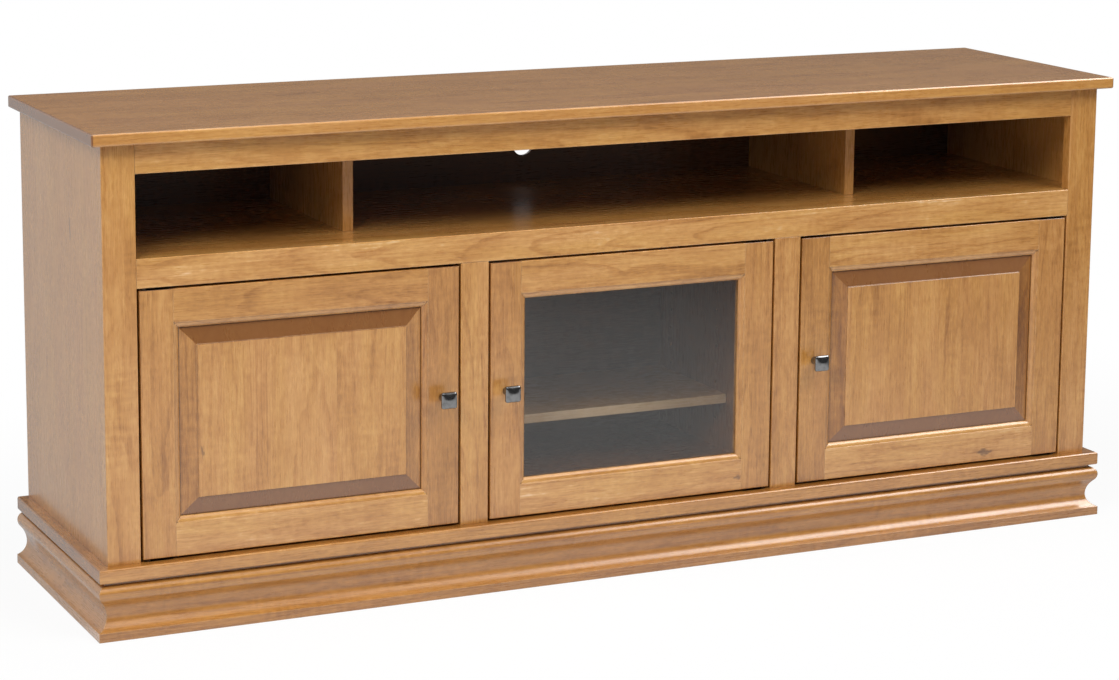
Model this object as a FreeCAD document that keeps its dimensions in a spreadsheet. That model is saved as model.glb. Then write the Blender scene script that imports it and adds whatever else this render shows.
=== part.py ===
import FreeCAD, Part
import Sketcher
import os
from math import atan2, pi, sqrt

# Media console: a long low cabinet with an open bay above three inset doors,
# standing on a moulded base. Millimetres, +X to the right seen from the front,
# +Y to the back, +Z up, origin on the floor at the middle of the whole piece.

doc = FreeCAD.newDocument("media_console")
dims = doc.addObject("Spreadsheet::Sheet", "dims")

SIZES = {
    # Case
    "total_height": 785,
    "case_width": 1795,
    "case_depth": 451,
    "board_thick": 19,
    "dado_depth": 6,
    "back_thick": 6,
    "back_rabbet": 9.5,
    # Top
    "top_thick": 19,
    "top_side_overhang": 19.5,
    "top_front_overhang": 21.5,
    "top_ease": 3,
    # Face frame
    "face_thick": 20,
    "face_ease": 1.2,
    "stile_width": 53,
    "mullion_width": 48,
    "centre_opening": 523,
    "top_rail_height": 47.5,
    "bay_opening_height": 130,
    "middle_rail_height": 46,
    # Base
    "moulding_height": 91,
    "moulding_projection": 21.5,
    "moulding_thick": 30,
    "foot_height": 14.4,
    "cove_depth": 16.8,
    "cove_height": 36,
    "bead_setback": 1.5,
    "bead_height": 74,
    "bead_round": 17.5,
    "bead_top_round": 12,
    "cap_thick": 22,
    "cap_projection": 19,
    "cap_width": 80,
    "cap_ease": 3,
    "rear_rail_thick": 20,
    # Open bay
    "divider_thick": 18,
    "divider_centre": 462,
    "divider_setback": 102.5,
    "wire_hole_radius": 19,
    # Cupboards
    "floor_setback": 26,
    "shelf_thick": 16,
    "shelf_depth": 252,
    "shelf_ease": 1.2,
    "shelf_back_gap": 3,
    "shelf_end_gap": 0.8,
    "peg_radius": 2.5,
    "peg_length": 17,
    "peg_hole_depth": 8,
    "peg_clearance": 0.1,
    "peg_inset": 40,
    "peg_first_height": 51.5,
    "peg_pitch": 32,
    "peg_hole_count": 9,
    "shelf_seat": 1,
    # Doors
    "door_thick": 20,
    "door_side_gap": 4.2,
    "door_end_gap": 3.8,
    "door_ease": 0.8,
    "frame_width": 62,
    "stick_width": 9,
    "stick_quirk": 1,
    "stick_drop": 5,
    "stick_lip": 2,
    "groove_width": 6.5,
    "groove_depth": 10,
    "panel_play": 2,
    "tongue_play": 0.2,
    "tongue_thick": 6,
    "bevel_width": 28,
    "field_step": 1.8,
    "field_ease": 0.8,
    "glass_thick": 4,
    "glass_play": 1.5,
    "stop_width": 9,
    "stop_setback": 1,
    # Pivot hinges
    "leaf_thick": 2.5,
    "leaf_width": 10,
    "leaf_length": 45,
    "pivot_inset": 8,
    "pivot_setback": 6,
    "pivot_radius": 2,
    "pivot_clearance": 0.05,
    "pivot_tip": 4,
    "socket_clearance": 1,
    "collar_radius": 4.5,
    "collar_clearance": 0.1,
    # Knobs and their screws
    "knob_reach": 31.5,
    "knob_size": 27,
    "knob_inset": 27.5,
    "knob_neck_radius": 7,
    "knob_back": 4,
    "knob_back_inset": 5,
    "knob_edge": 5,
    "knob_crown": 2.4,
    "knob_crown_inset": 3.2,
    "knob_corner": 2,
    "knob_ease": 1,
    "knob_screw_radius": 2,
    "knob_screw_grip": 9,
    "knob_screw_head_radius": 4.2,
    "knob_screw_head": 2.4,
    "knob_screw_clearance": 0.25,
    # Magnetic catches
    "catch_length": 45,
    "catch_height": 14,
    "catch_depth": 15,
    "catch_gap": 0.2,
    "catch_inset": 30,
    "strike_length": 36,
    "strike_height": 12,
    "strike_thick": 1.2,
    # Countersunk wood screws
    "screw_radius": 2,
    "screw_head_radius": 4,
    "screw_head": 3,
    "screw_inset": 99,
    "top_screw_length": 32,
    "top_screw_row": 45,
    "back_screw_length": 28,
}
for row, (alias, size) in enumerate(SIZES.items(), start=1):
    dims.set(f"A{row}", alias)
    dims.set(f"B{row}", str(size))
    dims.setAlias(f"B{row}", alias)
doc.recompute()

SCREW_COLUMNS = 4
SMALL = 0.01

# Places worked out from the driving dimensions, front to back and floor to top
FRONT = "(dims.knob_reach / 2 - dims.case_depth / 2)"
FRAME_BACK = f"({FRONT} + dims.face_thick)"
CASE_BACK = f"({FRONT} + dims.case_depth)"
PANEL_FACE = f"({CASE_BACK} - dims.back_thick)"
CAP_TOP = "(dims.moulding_height + dims.cap_thick)"
FLOOR_TOP = f"({CAP_TOP} + dims.board_thick)"
TOP_UNDER = "(dims.total_height - dims.top_thick)"
SUB_TOP_UNDER = f"({TOP_UNDER} - dims.board_thick)"
BAY_HEAD = f"({TOP_UNDER} - dims.top_rail_height)"
BAY_FLOOR = f"({BAY_HEAD} - dims.bay_opening_height)"
DECK_UNDER = f"({BAY_FLOOR} - dims.board_thick)"
DOOR_HEAD = f"({BAY_FLOOR} - dims.middle_rail_height)"

# Places out from the middle of the case
CASE_SIDE = "(dims.case_width / 2)"
INNER_SIDE = f"({CASE_SIDE} - dims.board_thick)"
STILE_EDGE = f"({CASE_SIDE} - dims.stile_width)"
MULLION_NEAR = "(dims.centre_opening / 2)"
MULLION_FAR = f"({MULLION_NEAR} + dims.mullion_width)"
MULLION_MIDDLE = f"({MULLION_NEAR} + dims.mullion_width / 2)"
PARTITION_NEAR = f"({MULLION_MIDDLE} - dims.board_thick / 2)"
PARTITION_FAR = f"({MULLION_MIDDLE} + dims.board_thick / 2)"

# Adjustable shelves and the pegs that carry them
SHELF_FRONT = f"({PANEL_FACE} - dims.shelf_back_gap - dims.shelf_depth)"
PEG_HEIGHT = f"({FLOOR_TOP} + dims.peg_first_height + dims.shelf_seat * dims.peg_pitch)"
SHELF_UNDER = f"({PEG_HEIGHT} + dims.peg_radius)"
PEG_FRONT = f"({SHELF_FRONT} + dims.peg_inset)"
PEG_REAR = f"({SHELF_FRONT} + dims.shelf_depth - dims.peg_inset)"

# Door frame section and panel
GROOVE_FRONT = "(dims.stick_quirk + dims.stick_drop + dims.stick_lip)"
FLAT_WIDTH = "(dims.frame_width - dims.stick_width)"
DOOR_LOW = f"({CAP_TOP} + dims.door_end_gap)"
DOOR_TALL = f"({DOOR_HEAD} - {CAP_TOP} - 2 * dims.door_end_gap)"
DOOR_BACK = f"({FRONT} + dims.door_thick)"
PIVOT_Y = f"({FRONT} + dims.pivot_setback)"

TURN_NONE = FreeCAD.Rotation()
TURN_X = FreeCAD.Rotation(FreeCAD.Vector(1, 0, 0), 180)
TURN_Y = FreeCAD.Rotation(FreeCAD.Vector(0, 1, 0), 180)
TURN_Z = FreeCAD.Rotation(FreeCAD.Vector(0, 0, 1), 180)
LAY_ALONG_X = FreeCAD.Rotation(FreeCAD.Vector(0, 1, 0), 90)
LAY_ALONG_Y = FreeCAD.Rotation(FreeCAD.Vector(1, 0, 0), -90)
POINT_FORWARD = FreeCAD.Rotation(FreeCAD.Vector(1, 0, 0), 90)

pieces = []


def keep(piece):
    """Note a finished piece, which becomes a node of its own."""
    piece.Label = piece.Name
    pieces.append(piece)
    return piece


def place(thing, x="0", y="0", z="0", turn=TURN_NONE):
    """Stand an object at a point given by three expressions."""
    thing.Placement = FreeCAD.Placement(FreeCAD.Vector(), turn)
    for axis, expression in zip("xyz", (x, y, z)):
        thing.setExpression(f".Placement.Base.{axis}", expression)
    return thing


def sketch_on(body, role, offset="0"):
    """An empty sketch on one of the body's origin planes, moved along the plane's normal."""
    plane = next(item for item in body.Origin.OriginFeatures if item.Role == role)
    sketch = body.newObject("Sketcher::SketchObject", "sketch")
    sketch.AttachmentSupport = [(plane, "")]
    sketch.MapMode = "FlatFace"
    sketch.setExpression(".AttachmentOffset.Base.z", offset)
    return sketch


def bind(sketch, constraint, expression):
    """Add a constraint whose value follows an expression."""
    index = sketch.addConstraint(constraint)
    sketch.renameConstraint(index, f"size_{index}")
    sketch.setExpression(f"Constraints.size_{index}", expression)


def bind_point(sketch, geometry, position, u, v):
    """Hold a sketch point at coordinates that follow two expressions."""
    for kind, expression in (("DistanceX", u), ("DistanceY", v)):
        value = sketch.evalExpression(expression)
        bind(sketch, Sketcher.Constraint(kind, -1, 1, geometry, position, value), expression)


def arc_between(start, end, radius, side):
    """Arc from start to end with its centre to the left (side 1) or right (-1) of the way."""
    chord = end - start
    rise = sqrt(max(radius**2 - chord.Length**2 / 4, 0))
    across = FreeCAD.Vector(-chord.y, chord.x, 0).normalize()
    centre = (start + end) / 2 + across * rise * side
    first, last = (start, end) if side > 0 else (end, start)
    angles = [atan2((point - centre).y, (point - centre).x) for point in (first, last)]
    if angles[1] <= angles[0]:
        angles[1] += 2 * pi
    circle = Part.Circle(centre, FreeCAD.Vector(0, 0, 1), radius)
    return Part.ArcOfCircle(circle, *angles)


def outline(sketch, corners):
    """Draw a closed outline. A corner is (u, v), or (u, v, radius, side) before an arc."""
    points = [FreeCAD.Vector(*(sketch.evalExpression(e) for e in corner[:2])) for corner in corners]
    count = len(corners)
    ends = []
    for index, corner in enumerate(corners):
        start = points[index]
        end = points[(index + 1) % count]
        if len(corner) == 2:
            sketch.addGeometry(Part.LineSegment(start, end))
            ends.append((1, 2))
        else:
            radius, side = corner[2:]
            sketch.addGeometry(arc_between(start, end, sketch.evalExpression(radius), side))
            ends.append((1, 2) if side > 0 else (2, 1))
    for index, corner in enumerate(corners):
        after = (index + 1) % count
        sketch.addConstraint(Sketcher.Constraint("Coincident", index, ends[index][1], after, ends[after][0]))
        bind_point(sketch, index, ends[index][0], corner[0], corner[1])
        if len(corner) > 2:
            value = sketch.evalExpression(corner[2])
            bind(sketch, Sketcher.Constraint("Radius", index, value), corner[2])
    return sketch


def rectangle(low_u, low_v, high_u, high_v):
    """Corners of a rectangle."""
    return [(low_u, low_v), (high_u, low_v), (high_u, high_v), (low_u, high_v)]


def circles(sketch, centres, radius):
    """Draw equal circles."""
    for u, v in centres:
        size = sketch.evalExpression(radius)
        centre = FreeCAD.Vector(sketch.evalExpression(u), sketch.evalExpression(v), 0)
        index = sketch.addGeometry(Part.Circle(centre, FreeCAD.Vector(0, 0, 1), size))
        bind_point(sketch, index, 3, u, v)
        bind(sketch, Sketcher.Constraint("Radius", index, size), radius)
    return sketch


def pad(body, sketch, length, backward=False):
    """Grow a sketch along its normal, or against it."""
    feature = body.newObject("PartDesign::Pad", "pad")
    feature.Profile = sketch
    feature.setExpression("Length", length)
    feature.Reversed = backward
    return feature


def pocket(body, sketch, depth, forward=False):
    """Cut a sketch into the body against its normal, or along it, and see that it cut."""
    doc.recompute()
    before = body.Shape.Volume
    feature = body.newObject("PartDesign::Pocket", "pocket")
    feature.Profile = sketch
    feature.setExpression("Length", depth)
    feature.Reversed = forward
    doc.recompute()
    if not body.Shape.Volume < before:
        raise ValueError(f"a pocket in {body.Name} cuts nothing")
    return feature


def loft(body, first, last):
    """Straight-sided solid between two sketches."""
    feature = body.newObject("PartDesign::AdditiveLoft", "loft")
    feature.Profile = first
    feature.Sections = [last]
    feature.Ruled = True
    return feature


def ease(body, radius, chosen):
    """Round the edges that a test picks."""
    doc.recompute()
    base = body.Tip
    names = [f"Edge{index}" for index, edge in enumerate(base.Shape.Edges, start=1) if chosen(edge)]
    feature = body.newObject("PartDesign::Fillet", "ease")
    feature.Base = (base, names)
    feature.setExpression("Radius", radius)
    return feature


def runs_along(axis):
    """A test for straight edges along an axis."""

    def test(edge):
        spans = (edge.BoundBox.XLength, edge.BoundBox.YLength, edge.BoundBox.ZLength)
        return all(span > SMALL if name == axis else span < SMALL for name, span in zip("xyz", spans))

    return test


def on_side(edge, axis, high):
    """Whether an edge lies at y or z zero, or past it, in the body's own frame."""
    box = edge.BoundBox
    low_end, high_end = (box.YMin, box.YMax) if axis == "y" else (box.ZMin, box.ZMax)
    return low_end > SMALL if high else high_end < SMALL


def board(name, size, corner):
    """A plain board: a rectangle padded to its height, standing on its low corner."""
    body = doc.addObject("PartDesign::Body", name)
    sketch = outline(sketch_on(body, "XY_Plane"), rectangle("0", "0", size[0], size[1]))
    pad(body, sketch, size[2])
    place(body, *corner)
    return body


def block(name, size, corner):
    """A plain square-edged block."""
    box = doc.addObject("Part::Box", name)
    for side, expression in zip(("Length", "Width", "Height"), size):
        box.setExpression(side, expression)
    return place(box, *corner)


def rod(name, radius, length, x, y, z, turn=TURN_NONE):
    """A plain cylinder."""
    cylinder = doc.addObject("Part::Cylinder", name)
    cylinder.setExpression("Radius", radius)
    cylinder.setExpression("Height", length)
    return place(cylinder, x, y, z, turn)


def group(name, members):
    """Separate solids kept together."""
    compound = doc.addObject("Part::Compound", name)
    compound.Links = members
    return compound


def cut(name, base, tools):
    """A piece with room cut in it for its fittings."""
    piece = doc.addObject("Part::Cut", name)
    piece.Base = base
    piece.Tool = tools[0] if len(tools) == 1 else group(f"{name}_fittings", tools)
    return piece


def turned(name, corners):
    """A body of revolution about its own Y axis, from (radius, along) corners."""
    body = doc.addObject("PartDesign::Body", name)
    sketch = outline(sketch_on(body, "XY_Plane"), corners)
    feature = body.newObject("PartDesign::Revolution", "turning")
    feature.Profile = sketch
    feature.ReferenceAxis = (sketch, ["V_Axis"])
    feature.Angle = 360
    return body


def wood_screw(name, length):
    """A countersunk screw pointing along +Y from the middle of its head."""
    corners = [
        ("0", "0"),
        ("dims.screw_head_radius", "0"),
        ("dims.screw_radius", "dims.screw_head"),
        ("dims.screw_radius", length),
        ("0", length),
    ]
    return turned(name, corners)


def screw_column(index):
    """Place along the case of one of the evenly spaced screws."""
    pitch = f"(dims.case_width - 2 * dims.screw_inset) / {SCREW_COLUMNS - 1}"
    return f"({index} * {pitch} - {CASE_SIDE} + dims.screw_inset)"


def make_screws():
    """Screws that hold the top down on the case, and the back into the boards' rear edges."""
    top = []
    rows = (f"({FRAME_BACK} + dims.top_screw_row)", f"({PANEL_FACE} - dims.top_screw_row)")
    for index in range(SCREW_COLUMNS):
        for row in rows:
            screw = wood_screw("top_screw", "dims.top_screw_length")
            top.append(place(screw, screw_column(index), row, SUB_TOP_UNDER, POINT_FORWARD))
    back = []
    heights = (f"({level} + dims.board_thick / 2)" for level in (CAP_TOP, DECK_UNDER, SUB_TOP_UNDER))
    for level in heights:
        for index in range(SCREW_COLUMNS):
            screw = wood_screw("back_screw", "dims.back_screw_length")
            back.append(place(screw, screw_column(index), CASE_BACK, level, TURN_Z))
    return keep(group("top_screws", top)), keep(group("back_screws", back))


def make_top(top_screws):
    """Solid top with rounded edges, overhanging the front and both sides."""
    length = "(dims.case_width + 2 * dims.top_side_overhang)"
    depth = "(dims.case_depth + dims.top_front_overhang)"
    corner = (f"(-{length} / 2)", f"({FRONT} - dims.top_front_overhang)", TOP_UNDER)
    body = board("top_blank", (length, depth, "dims.top_thick"), corner)
    ease(body, "dims.top_ease", lambda edge: not (on_side(edge, "y", True) and runs_along("x")(edge)))
    keep(cut("top_board", body, [top_screws]))


def make_shell(top_screws, back_screws):
    """Floor, bay deck and sub-top let into the side panels, and the thin back."""
    length = f"(2 * ({INNER_SIDE} + dims.dado_depth))"
    low_x = f"(-{length} / 2)"
    levels = (
        ("cabinet_floor", CAP_TOP, "dims.floor_setback", [back_screws]),
        ("bay_deck", DECK_UNDER, "dims.face_thick", [back_screws]),
        ("sub_top", SUB_TOP_UNDER, "dims.face_thick", [top_screws, back_screws]),
    )
    for name, level, setback, screws in levels:
        depth = f"(dims.case_depth - dims.back_thick - {setback})"
        size = (length, depth, "dims.board_thick")
        blank = block(f"{name}_blank", size, (low_x, f"({FRONT} + {setback})", level))
        keep(cut(name, blank, screws))

    reach = f"({INNER_SIDE} + dims.back_rabbet)"
    size = (f"(2 * {reach})", "dims.back_thick", f"({TOP_UNDER} - {CAP_TOP})")
    blank = block("back_blank", size, (f"(-{reach})", PANEL_FACE, CAP_TOP))
    middle = f"({BAY_FLOOR} / 2 + {BAY_HEAD} / 2)"
    wire_hole = rod("wire_hole", "dims.wire_hole_radius", "dims.back_thick", "0", PANEL_FACE, middle, LAY_ALONG_Y)
    keep(cut("back_panel", blank, [wire_hole, back_screws]))


def peg_holes(body, face, low_y, low_z, forward):
    """Two rows of shelf-peg holes in one face of an upright board."""
    height = f"({FLOOR_TOP} + dims.peg_first_height - {low_z})"
    centres = [(f"({row} - {low_y})", height) for row in (PEG_FRONT, PEG_REAR)]
    sketch = circles(sketch_on(body, "YZ_Plane", face), centres, "(dims.peg_radius + dims.peg_clearance)")
    holes = pocket(body, sketch, "dims.peg_hole_depth", forward)
    rows = body.newObject("PartDesign::LinearPattern", "rows")
    rows.Originals = [holes]
    rows.Direction = (sketch, ["V_Axis"])
    rows.setExpression("Length", "dims.peg_pitch * (dims.peg_hole_count - 1)")
    rows.setExpression("Occurrences", "dims.peg_hole_count")
    body.Tip = rows
    doc.recompute()


def make_side_panel(name, low_x, inner_face, forward):
    """Side panel with dados for the boards, a rabbet for the back and peg holes."""
    body = doc.addObject("PartDesign::Body", name)
    depth = "(dims.case_depth - dims.face_thick)"
    height = f"({TOP_UNDER} - {CAP_TOP})"
    sketch = outline(sketch_on(body, "YZ_Plane"), rectangle("0", "0", depth, height))
    pad(body, sketch, "dims.board_thick")
    board_end = f"({PANEL_FACE} - {FRAME_BACK})"
    floor_front = "(dims.floor_setback - dims.face_thick)"
    for level, front in ((CAP_TOP, floor_front), (DECK_UNDER, "0"), (SUB_TOP_UNDER, "0")):
        low = f"({level} - {CAP_TOP})"
        dado = sketch_on(body, "YZ_Plane", inner_face)
        outline(dado, rectangle(front, low, board_end, f"({low} + dims.board_thick)"))
        pocket(body, dado, "dims.dado_depth", forward)
    rabbet = sketch_on(body, "YZ_Plane", inner_face)
    outline(rabbet, rectangle(board_end, "0", depth, height))
    pocket(body, rabbet, "dims.back_rabbet", forward)
    peg_holes(body, inner_face, FRAME_BACK, CAP_TOP, forward)
    keep(place(body, low_x, FRAME_BACK, CAP_TOP))


def make_partition(name, low_x):
    """Lower partition behind a mullion, with peg holes in both faces."""
    body = doc.addObject("PartDesign::Body", name)
    size = (f"({PANEL_FACE} - {FRAME_BACK})", f"({DECK_UNDER} - {FLOOR_TOP})")
    sketch = outline(sketch_on(body, "YZ_Plane"), rectangle("0", "0", *size))
    pad(body, sketch, "dims.board_thick")
    peg_holes(body, "0", FRAME_BACK, FLOOR_TOP, True)
    peg_holes(body, "dims.board_thick", FRAME_BACK, FLOOR_TOP, False)
    keep(place(body, low_x, FRAME_BACK, FLOOR_TOP))


def make_divider(name, centre):
    """Divider of the open bay, set back from the front."""
    size = (
        "dims.divider_thick",
        "(dims.case_depth - dims.back_thick - dims.divider_setback)",
        f"({SUB_TOP_UNDER} - {BAY_FLOOR})",
    )
    corner = (f"({centre} - dims.divider_thick / 2)", f"({FRONT} + dims.divider_setback)", BAY_FLOOR)
    body = board(name, size, corner)
    front_edges = lambda edge: runs_along("z")(edge) and not on_side(edge, "y", True)
    ease(body, "dims.face_ease", front_edges)
    keep(body)


def face_board(name, low_x, low_z, width, height):
    """A member of the face frame, with its front arrises lightly rounded along the grain."""
    body = board(name, (width, "dims.face_thick", height), (low_x, FRONT, low_z))
    along = "z" if body.evalExpression(height) > body.evalExpression(width) else "x"
    ease(body, "dims.face_ease", lambda edge: runs_along(along)(edge) and not on_side(edge, "y", True))
    return body


def make_face_frame(upper_leaves):
    """Stiles, two rails and the mullions between the doors."""
    height = f"({TOP_UNDER} - {CAP_TOP})"
    keep(face_board("left_face_stile", f"(-{CASE_SIDE})", CAP_TOP, "dims.stile_width", height))
    keep(face_board("right_face_stile", STILE_EDGE, CAP_TOP, "dims.stile_width", height))
    span = f"(2 * {STILE_EDGE})"
    keep(face_board("top_face_rail", f"(-{STILE_EDGE})", BAY_HEAD, span, "dims.top_rail_height"))
    rail = face_board("middle_rail_blank", f"(-{STILE_EDGE})", DOOR_HEAD, span, "dims.middle_rail_height")
    keep(cut("middle_face_rail", rail, upper_leaves))
    drop = f"({DOOR_HEAD} - {CAP_TOP})"
    keep(face_board("left_mullion", f"(-{MULLION_FAR})", CAP_TOP, "dims.mullion_width", drop))
    keep(face_board("right_mullion", MULLION_NEAR, CAP_TOP, "dims.mullion_width", drop))


def moulding_section():
    """Base moulding in section as (inset, height): foot, cove, rolling bead and neck."""
    sweep = "(dims.cove_depth - dims.bead_setback)"
    reverse = f"(({sweep}^2 + (dims.bead_height - dims.cove_height)^2) / (2 * {sweep}))"
    upper_round = f"({reverse} - dims.bead_round)"
    share = f"({upper_round} / {reverse})"
    low_drop = "(dims.cove_height - dims.foot_height)"
    low_round = f"((dims.cove_depth^2 + {low_drop}^2) / (2 * dims.cove_depth))"
    turn_inset = f"(dims.cove_depth - {upper_round} + ({reverse} - {sweep}) * {share})"
    turn_height = f"(dims.cove_height + (dims.bead_height - dims.cove_height) * {share})"
    neck_low = "(dims.bead_height + dims.bead_top_round)"
    neck_inset = "(dims.bead_setback + dims.bead_top_round)"
    return [
        ("0", "0"),
        ("dims.moulding_thick", "0"),
        ("dims.moulding_thick", "dims.moulding_height"),
        (neck_inset, "dims.moulding_height"),
        (neck_inset, neck_low, "dims.bead_top_round", 1),
        ("dims.bead_setback", "dims.bead_height", "dims.bead_round", 1),
        (turn_inset, turn_height, upper_round, -1),
        ("dims.cove_depth", "dims.cove_height", low_round, -1),
        ("0", "dims.foot_height"),
    ]


def mitre(body, corners):
    """Cut a mitred end off a moulding."""
    pocket(body, outline(sketch_on(body, "XY_Plane"), corners), "dims.moulding_height", True)


def make_mouldings():
    """Front and side base mouldings, mitred at the front corners."""
    thick = "dims.moulding_thick"
    length = "(dims.case_width + 2 * dims.moulding_projection)"
    low_x = f"(-{length} / 2)"
    low_y = f"({FRONT} - dims.moulding_projection)"
    front = doc.addObject("PartDesign::Body", "base_moulding_front")
    pad(front, outline(sketch_on(front, "YZ_Plane"), moulding_section()), length)
    mitre(front, [("0", "0"), (thick, thick), ("0", thick)])
    mitre(front, [(length, "0"), (length, thick), (f"({length} - {thick})", thick)])
    keep(place(front, low_x, low_y))

    reach = "(dims.case_depth + dims.moulding_projection)"
    section = moulding_section()
    left = doc.addObject("PartDesign::Body", "base_moulding_left")
    pad(left, outline(sketch_on(left, "XZ_Plane"), section), reach, True)
    mitre(left, [("0", "0"), (thick, "0"), (thick, thick)])
    keep(place(left, low_x, low_y))

    mirrored = [(f"(-{corner[0]})", *corner[1:3], *(-side for side in corner[3:])) for corner in section]
    right = doc.addObject("PartDesign::Body", "base_moulding_right")
    pad(right, outline(sketch_on(right, "XZ_Plane"), mirrored), reach, True)
    mitre(right, [("0", "0"), (f"(-{thick})", "0"), (f"(-{thick})", thick)])
    keep(place(right, f"({length} / 2)", low_y))


def cap_board(name, corners, corner, nose):
    """A board of the base cap with its outer edges rounded along the nose."""
    body = doc.addObject("PartDesign::Body", name)
    pad(body, outline(sketch_on(body, "XY_Plane"), corners), "dims.cap_thick")
    place(body, *corner)
    ease(body, "dims.cap_ease", nose)
    return body


def make_caps(lower_leaves):
    """Flat boards on the mouldings, mitred at the front corners, that carry the case."""
    width = "dims.cap_width"
    length = "(dims.case_width + 2 * dims.cap_projection)"
    reach = "(dims.case_depth + dims.cap_projection)"
    low_x = f"(-{length} / 2)"
    low_y = f"({FRONT} - dims.cap_projection)"
    level = "dims.moulding_height"
    nose = lambda edge: runs_along("x")(edge) and not on_side(edge, "y", True)
    front_corners = [("0", "0"), (length, "0"), (f"({length} - {width})", width), (width, width)]
    front = cap_board("front_cap_blank", front_corners, (low_x, low_y, level), nose)
    keep(cut("base_cap_front", front, lower_leaves))

    def outer(edge):
        return runs_along("y")(edge) and abs(edge.BoundBox.XMin) < SMALL and abs(edge.BoundBox.XMax) < SMALL

    left_corners = [("0", "0"), (width, width), (width, reach), ("0", reach)]
    keep(cap_board("base_cap_left", left_corners, (low_x, low_y, level), outer))
    right_corners = [("0", "0"), ("0", reach), (f"(-{width})", reach), (f"(-{width})", width)]
    keep(cap_board("base_cap_right", right_corners, (f"({length} / 2)", low_y, level), outer))


def make_rear_rail():
    """Rail across the back of the base, notched at its ends under the side caps."""
    body = doc.addObject("PartDesign::Body", "base_rear_rail")
    low_reach = f"({CASE_SIDE} + dims.moulding_projection - dims.moulding_thick)"
    high_reach = f"({CASE_SIDE} + dims.cap_projection - dims.cap_width)"
    corners = [
        (f"(-{low_reach})", "0"),
        (low_reach, "0"),
        (low_reach, "dims.moulding_height"),
        (high_reach, "dims.moulding_height"),
        (high_reach, CAP_TOP),
        (f"(-{high_reach})", CAP_TOP),
        (f"(-{high_reach})", "dims.moulding_height"),
        (f"(-{low_reach})", "dims.moulding_height"),
    ]
    pad(body, outline(sketch_on(body, "XZ_Plane"), corners), "dims.rear_rail_thick")
    keep(place(body, "0", CASE_BACK))


CUPBOARDS = (
    ("left_shelf", f"(-{INNER_SIDE})", f"(-{PARTITION_FAR})"),
    ("centre_shelf", f"(-{PARTITION_NEAR})", PARTITION_NEAR),
    ("right_shelf", PARTITION_FAR, INNER_SIDE),
)


def make_shelves():
    """One adjustable shelf in each cupboard, resting on four pegs."""
    pegs = []
    for name, low, high in CUPBOARDS:
        size = (f"({high} - {low} - 2 * dims.shelf_end_gap)", "dims.shelf_depth", "dims.shelf_thick")
        body = board(name, size, (f"({low} + dims.shelf_end_gap)", SHELF_FRONT, SHELF_UNDER))
        ease(body, "dims.shelf_ease", lambda edge: runs_along("x")(edge) and not on_side(edge, "y", True))
        keep(body)
        starts = (f"({low} - dims.peg_hole_depth)", f"({high} + dims.peg_hole_depth - dims.peg_length)")
        for start in starts:
            for row in (PEG_FRONT, PEG_REAR):
                peg = rod("peg", "dims.peg_radius", "dims.peg_length", start, row, PEG_HEIGHT, LAY_ALONG_X)
                pegs.append(peg)
    keep(group("shelf_pegs", pegs))


def leaf_outline():
    """Hinge leaf in plan: round end about the pivot, straight towards the door's middle."""
    half = "(dims.leaf_width / 2)"
    far = f"(dims.leaf_length - {half})"
    return [
        ("0", f"(-{half})"),
        (far, f"(-{half})"),
        (far, half),
        ("0", half, half, 1),
        (f"(-{half})", "0", half, 1),
    ]


def frame_leaf(name):
    """Leaf let into the cabinet, with the collar the door turns on and the pivot pin."""
    body = doc.addObject("PartDesign::Body", name)
    pad(body, outline(sketch_on(body, "XY_Plane"), leaf_outline()), "dims.leaf_thick", True)
    collar = circles(sketch_on(body, "XY_Plane"), [("0", "0")], "dims.collar_radius")
    pad(body, collar, "dims.door_end_gap - dims.collar_clearance")
    pin = circles(sketch_on(body, "XY_Plane"), [("0", "0")], "dims.pivot_radius")
    pad(body, pin, "dims.door_end_gap + dims.leaf_thick + dims.pivot_tip")
    return body


def door_leaf(name):
    """Leaf let into the door's edge, with the hole that turns on the pin."""
    body = doc.addObject("PartDesign::Body", name)
    pad(body, outline(sketch_on(body, "XY_Plane", "dims.door_end_gap"), leaf_outline()), "dims.leaf_thick")
    hole = circles(sketch_on(body, "XY_Plane", "dims.door_end_gap"), [("0", "0")], HOLE_RADIUS)
    pocket(body, hole, "dims.leaf_thick", True)
    return body


HOLE_RADIUS = "(dims.pivot_radius + dims.pivot_clearance)"
SOCKET_RADIUS = "(dims.pivot_radius + dims.socket_clearance)"
SOCKET_DEPTH = "(dims.leaf_thick + dims.pivot_tip + dims.socket_clearance)"
LEFT_HINGE_TURNS = (TURN_NONE, TURN_X)
RIGHT_HINGE_TURNS = (TURN_Z, TURN_Y)
DOORS = {
    "left_door": {"low": f"(-{STILE_EDGE})", "high": f"(-{MULLION_FAR})", "hinge": "low", "glazed": False},
    "centre_door": {"low": f"(-{MULLION_NEAR})", "high": MULLION_NEAR, "hinge": "high", "glazed": True},
    "right_door": {"low": MULLION_FAR, "high": STILE_EDGE, "hinge": "high", "glazed": False},
}
for spec in DOORS.values():
    spec["edge_low"] = f"({spec['low']} + dims.door_side_gap)"
    spec["edge_high"] = f"({spec['high']} - dims.door_side_gap)"
    spec["wide"] = f"({spec['edge_high']} - {spec['edge_low']})"
    if spec["hinge"] == "low":
        spec["pivot_x"] = f"({spec['edge_low']} + dims.pivot_inset)"
        spec["knob_x"] = f"({spec['edge_high']} - dims.knob_inset)"
        spec["catch_x"] = f"({spec['edge_high']} - dims.catch_inset)"
        spec["turns"] = LEFT_HINGE_TURNS
    else:
        spec["pivot_x"] = f"({spec['edge_high']} - dims.pivot_inset)"
        spec["knob_x"] = f"({spec['edge_low']} + dims.knob_inset)"
        spec["catch_x"] = f"({spec['edge_low']} + dims.catch_inset)"
        spec["turns"] = RIGHT_HINGE_TURNS


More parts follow.
